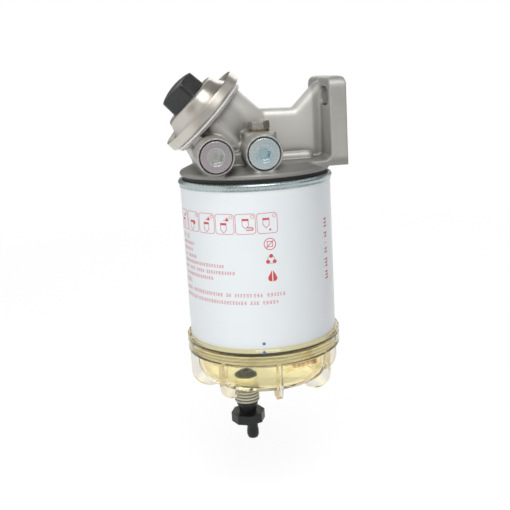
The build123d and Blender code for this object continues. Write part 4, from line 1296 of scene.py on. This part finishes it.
    def rounds(self) -> None:
        """Draw the three round signs: a barred square in a ring, three spots and a drop."""
        s, h = self.arc(-0.5), -43.2
        self.ring(s, h, 3.9, 0.5)
        self.stroke([(s - 1.8, h - 1.8), (s + 1.8, h - 1.8), (s + 1.8, h + 1.8), (s - 1.8, h + 1.8)], 0.4,
                    closed=True)
        self.stroke([(s - 2.6, h - 2.6), (s + 2.6, h + 2.6)], 0.5)
        s, h = self.arc(-0.1), -54.0
        for turn in (90, 210, 330):
            angle = math.radians(turn)
            self.dot(s + 2.6 * math.cos(angle), h + 2.6 * math.sin(angle), 1.35)
        self.ring(s, h, 2.6, 0.3)
        self.drop(self.arc(0.3), -65.4)

    def red(self) -> Object:
        """Draw the pictograms, the round signs and the rows of small print.

        Returns:
            The red print.
        """
        self.signs()
        self.rounds()
        for k, place in enumerate(self.rows):
            self.row(*place, 40 + k)
        for k, (high, low) in enumerate(self.blocks):
            self.block(self.arc(51.5), high, low, k)
        return piece_of("canister_print_red", self.bm)

    def drop(self, s: float, h: float) -> None:
        """Add the sign of a drop, solid with an open slot.

        Args:
            s: arc length of its middle.
            h: height of its middle.
        """
        for side in (-1, 1):
            outline = [(s + side * 0.35, h + 4.2), (s + side * 3.0, h - 0.6), (s + side * 3.2, h - 1.9),
                       (s + side * 2.2, h - 3.3), (s + side * 0.35, h - 3.7)]
            self.fill(outline if side < 0 else outline[::-1])

    def block(self, s: float, high: float, low: float, seed: int) -> None:
        """Add one of the tall marks of the upright row at the right.

        Args:
            s: arc length of its middle.
            high: height of its top.
            low: height of its foot.
            seed: picks its bars.
        """
        draw = np.random.default_rng(90 + seed)
        half = 2.6 if high - low > 2 else 0.6
        bars = max(1, round((high - low) / 2.2))
        for k in range(bars):
            h = high - (k + 0.5) * (high - low) / bars
            inset = float(draw.uniform(0.0, 1.2)) if half > 1 else 0.0
            self.stroke([(s - half + inset, h), (s + half - inset * 0.5, h)], 0.75)
        if bars > 1:
            self.stroke([(s + half * 0.3, high - 0.4), (s + half * 0.3, low + 0.4)], 0.7)

    def blue(self) -> Object:
        """Draw the fitting dot low on the wall."""
        self.dot(self.arc(-8.6), -112.9, 1.15)
        return piece_of("canister_print_blue", self.bm)

    def rim_dot(self) -> Object:
        """Draw the matching dot on the bowl's rim."""
        self.dot(self.arc(-8.7), -118.3, 1.1)
        return piece_of("bowl_fitting_dot", self.bm)


@dataclass
class Canister(Assembly):
    """The spin-on canister: seam plate, gasket, painted shell with its print, and the element inside."""

    def build(self, nodes: Nodes) -> None:
        """Dress the canister and lay its print.

        Args:
            nodes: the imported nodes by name.
        """
        dress(nodes, {Look.WHITE: "canister_shell", Look.RUBBER: "head_gasket nipple_grommet",
                      Look.SEAM_SHEET: "end_plate filter_cap_top filter_cap_low centre_tube "
                                       "filter_support lower_ring", Look.PAPER: "filter_media"})
        for piece, look in ((CanisterPrint().red(), Look.RED_INK),
                            (CanisterPrint().blue(), Look.BLUE_INK)):
            look.dress(piece)
            ride(piece, "canister")


@dataclass
class SumpBowl(Assembly):
    """The clear bowl with its seal, sensor plug and drain."""

    rim_r: float = 56.8 * MM
    rim_low: float = -129.8 * MM
    rim_face_r: float = 55.4 * MM
    wall_r: float = 50.0 * MM
    floor_h: float = -154.5 * MM
    floor_in: float = -151.5 * MM
    floor_r: float = 35.5 * MM
    neck_r: float = 9.6 * MM
    root_low: float = -158.3 * MM
    bore_r: float = 7.0 * MM
    sensor_turn: float = math.radians(22.5)
    sensor_r: float = 6.2 * MM
    near: float = 0.1 * MM

    def zone(self, centre: Vector) -> Look:
        """Say which finish a face of the moulding has.

        Args:
            centre: the face's centre.

        Returns:
            The finish of the rim, a fin, the drain neck or the wall.
        """
        r = math.hypot(centre.x - AXIS_X, centre.y)
        h = centre.z - SEAT_Z
        off = math.hypot(centre.x - DRAIN_AXIS[0], centre.y - DRAIN_AXIS[1])
        if off < self.bore_r or (off < self.neck_r and self.root_low < h < self.floor_h - self.near):
            return Look.AMBER_BORE
        if off < self.neck_r and h < self.floor_h - self.near:
            return Look.AMBER_NECK
        if abs(h - self.floor_in) < 2 * self.near and r < self.floor_r:
            return Look.AMBER_FLOOR
        if r > self.rim_face_r and h > self.rim_low - 2 * self.near:
            return Look.AMBER_RIM
        aside = centre.y * math.cos(self.sensor_turn) - (centre.x - AXIS_X) * math.sin(self.sensor_turn)
        port = abs(aside) < self.sensor_r and centre.x > AXIS_X
        if (r > self.wall_r + 3 * self.near and h < self.rim_low
                or h < self.floor_h - 3 * self.near and not port):
            return Look.AMBER_FIN
        return Look.AMBER

    def moulding(self, node: Object) -> Object:
        """Make the bowl's dressed twin, with its own finish on rim, fins and drain neck.

        Args:
            node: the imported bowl.

        Returns:
            The twin, which stands for the node.
        """
        twin = twin_of(node, "amber_bowl")
        zones = [look for look in Look if look.name.startswith("AMBER")]
        coat(twin.data, zones)
        for face in twin.data.polygons:
            face.material_index = zones.index(self.zone(face.center))
        return ride(twin, "sump")

    def build(self, nodes: Nodes) -> None:
        """Dress the bowl and all that shows through it.

        Args:
            nodes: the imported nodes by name.
        """
        self.moulding(nodes["bowl"])
        dress(nodes, {Look.RUBBER: "bowl_seal sensor_plug_rings drain_seal", Look.ORANGE: "sensor_plug",
                      Look.GREY: "drain_seat", Look.BLACK: "drain_valve"})
        dot = CanisterPrint(self.rim_r).rim_dot()
        Look.BLUE_INK.dress(dot)
        ride(dot, "sump")


# Studio


@dataclass
class Softbox:
    """One soft lamp aimed at the part."""

    name: str
    place: Triple
    size: float
    watts: float
    mirrored: bool = True

    def build(self, aim: Vector) -> None:
        """Hang the lamp.

        Args:
            aim: the point it faces.
        """
        lamp = bpy.data.lights.new(self.name, "AREA")
        lamp.shape = "DISK"
        lamp.size = self.size
        lamp.energy = self.watts
        hung = placed(self.name, lamp)
        hung.visible_glossy = self.mirrored
        facing(hung, self.place, aim, "-Z")


@dataclass
class Board:
    """One grey board that only mirrored rays meet, so that bright metal has dark and light to show."""

    name: str
    place: Triple
    wide: float
    tall: float
    tone: Colour
    edge: Colour = (0.9, 0.9, 0.9)
    fade: Point = (0.36, 0.5)

    def build(self, aim: Vector) -> None:
        """Stand the board up, fading towards its edges.

        Args:
            aim: the point it faces.
        """
        bm = bmesh.new()
        bmesh.ops.create_grid(bm, x_segments=1, y_segments=1, size=0.5)
        stood = piece_of(self.name, bm)
        stood.scale = (self.wide, self.tall, 1.0)
        facing(stood, self.place, aim, "Z")
        for rays in ("camera", "diffuse", "transmission", "shadow"):
            setattr(stood, "visible_" + rays, False)
        w = Wiring(self.name)
        sides = w.add("SeparateXYZ", {0: w.place()}).outputs
        far = w.calc("MAXIMUM", w.calc("ABSOLUTE", sides["X"]), w.calc("ABSOLUTE", sides["Y"]))
        tone = w.tint(w.fit(far, *self.fade), self.tone, self.edge)
        stood.data.materials.append(w.close(w.glow(tone, 1.0)))
        stood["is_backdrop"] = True


@dataclass
class StudioCamera:
    """The camera at the photograph's place."""

    place: Triple = (-0.14748, -0.57498, 0.02134)
    yaw: float = 0.144
    pitch: float = 0.2267
    roll: float = -0.0577
    focal_px: float = 809.02
    frame_px: float = 510.0
    sensor_mm: float = 36.0

    def build(self) -> None:
        """Make the camera and set it as the scene's."""
        flat = math.cos(self.pitch)
        ahead = Vector((math.sin(self.yaw) * flat, math.cos(self.yaw) * flat, -math.sin(self.pitch)))
        level = Vector((math.cos(self.yaw), -math.sin(self.yaw), 0.0))
        upright = level.cross(ahead)
        right = level * math.cos(self.roll) + upright * math.sin(self.roll)
        above = upright * math.cos(self.roll) - level * math.sin(self.roll)
        lens = bpy.data.cameras.new("studio_camera")
        lens.sensor_width = self.sensor_mm
        lens.lens = self.focal_px / self.frame_px * self.sensor_mm
        held = placed("studio_camera", lens)
        turn = Matrix((right, above, -ahead)).transposed()
        held.matrix_world = Matrix.Translation(self.place) @ turn.to_4x4()
        bpy.context.scene.camera = held


@dataclass
class Studio:
    """Pale floor, white surroundings and soft lamps."""

    floor_r: float = 2.5
    floor_tone: float = 0.78
    floor_glow: float = 0.80
    shade_tone: float = 0.30
    fade: Point = (0.25, 1.3)
    drop: float = 0.055
    surround: float = 0.34
    lamps: tuple[Softbox, ...] = (
        Softbox("key_lamp", (-0.08, -0.75, 1.05), 0.85, 7.8),
        Softbox("side_lamp", (-0.78, -0.83, 0.22), 0.80, 5.0, False),
        Softbox("fill_lamp", (0.40, -1.05, 0.15), 0.60, 0.6, False),
        Softbox("back_lamp", (0.25, 0.95, 0.45), 0.80, 2.0),
    )
    boards: tuple[Board, ...] = (
        Board("front_board", (0.10, -1.90, 0.00), 3.0, 1.6, (0.42, 0.41, 0.40)),
        Board("ceiling_board", (-0.10, 0.20, 1.30), 2.6, 2.2, (0.30, 0.29, 0.28)),
        Board("right_board", (1.60, -0.20, 0.10), 2.0, 1.4, (0.22, 0.21, 0.20)),
        Board("low_board", (-0.30, -0.75, -0.36), 0.9, 0.5, (0.75, 0.73, 0.70)),
        Board("brown_board", (-0.74, -0.71, 0.03), 0.26, 0.8, (0.16, 0.085, 0.04), (0.50, 0.48, 0.45)),
        Board("far_board", (1.00, 1.10, 0.85), 1.6, 1.6, (0.36, 0.35, 0.34)),
        Board("back_board", (0.00, 1.70, 0.20), 3.6, 1.4, (0.26, 0.25, 0.24)),
    )

    def floor(self, low: float) -> None:
        """Lay the floor, white to the eye but with the part's shadow.

        Args:
            low: height of the part's lowest point.
        """
        bm = bmesh.new()
        bmesh.ops.create_circle(bm, cap_ends=True, segments=96, radius=self.floor_r)
        bmesh.ops.translate(bm, verts=bm.verts, vec=(AXIS_X, 0.0, low - self.drop))
        laid = piece_of("studio_floor", bm)
        w = Wiring("pale_floor")
        plain, shade = (w.add("BsdfDiffuse", {"Color": (tone, tone, tone, 1.0)}).outputs[0]
                        for tone in (self.floor_tone, self.shade_tone))
        lit = w.add("AddShader", {0: shade, 1: w.glow(WHITE, self.floor_glow)}).outputs[0]
        away = w.aim("DISTANCE", w.place(), (AXIS_X, 0.0, low - self.drop))
        swept = w.pick(w.fit(away, *self.fade), lit, w.glow(WHITE, 1.0))
        laid.data.materials.append(w.close(w.pick(w.seen(), plain, swept)))
        laid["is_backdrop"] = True

    def sky(self) -> None:
        """Set the white surroundings."""
        w = Wiring("white_room", around=True)
        light, shown = (w.add("Background", {"Color": tone, "Strength": strength}).outputs[0]
                        for tone, strength in (((0.97, 0.985, 1.0, 1.0), self.surround), (WHITE, 1.0)))
        bpy.context.scene.world = w.close(w.pick(w.seen(), light, shown))

    def build(self, low: Vector, high: Vector) -> None:
        """Build the studio round the part.

        Args:
            low: the part's lowest corner.
            high: the part's highest corner.
        """
        self.floor(low.z)
        self.sky()
        for item in (*self.lamps, *self.boards):
            item.build((low + high) / 2)
        bpy.context.scene.view_settings.view_transform = "Standard"


def main() -> None:
    """Build the studio and dress each sub-assembly in order."""
    logging.basicConfig(level=logging.INFO, format="%(name)s: %(message)s")
    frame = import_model()
    cad_low, cad_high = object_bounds()
    StudioCamera().build()
    Studio().build(cad_low, cad_high)
    for assembly in (CastHead(), PrimerPump(), Canister(), SumpBowl()):
        assembly.build(frame["nodes"])
        LOG.info("built %s", type(assembly).__name__)


if __name__ == "__main__":
    main()
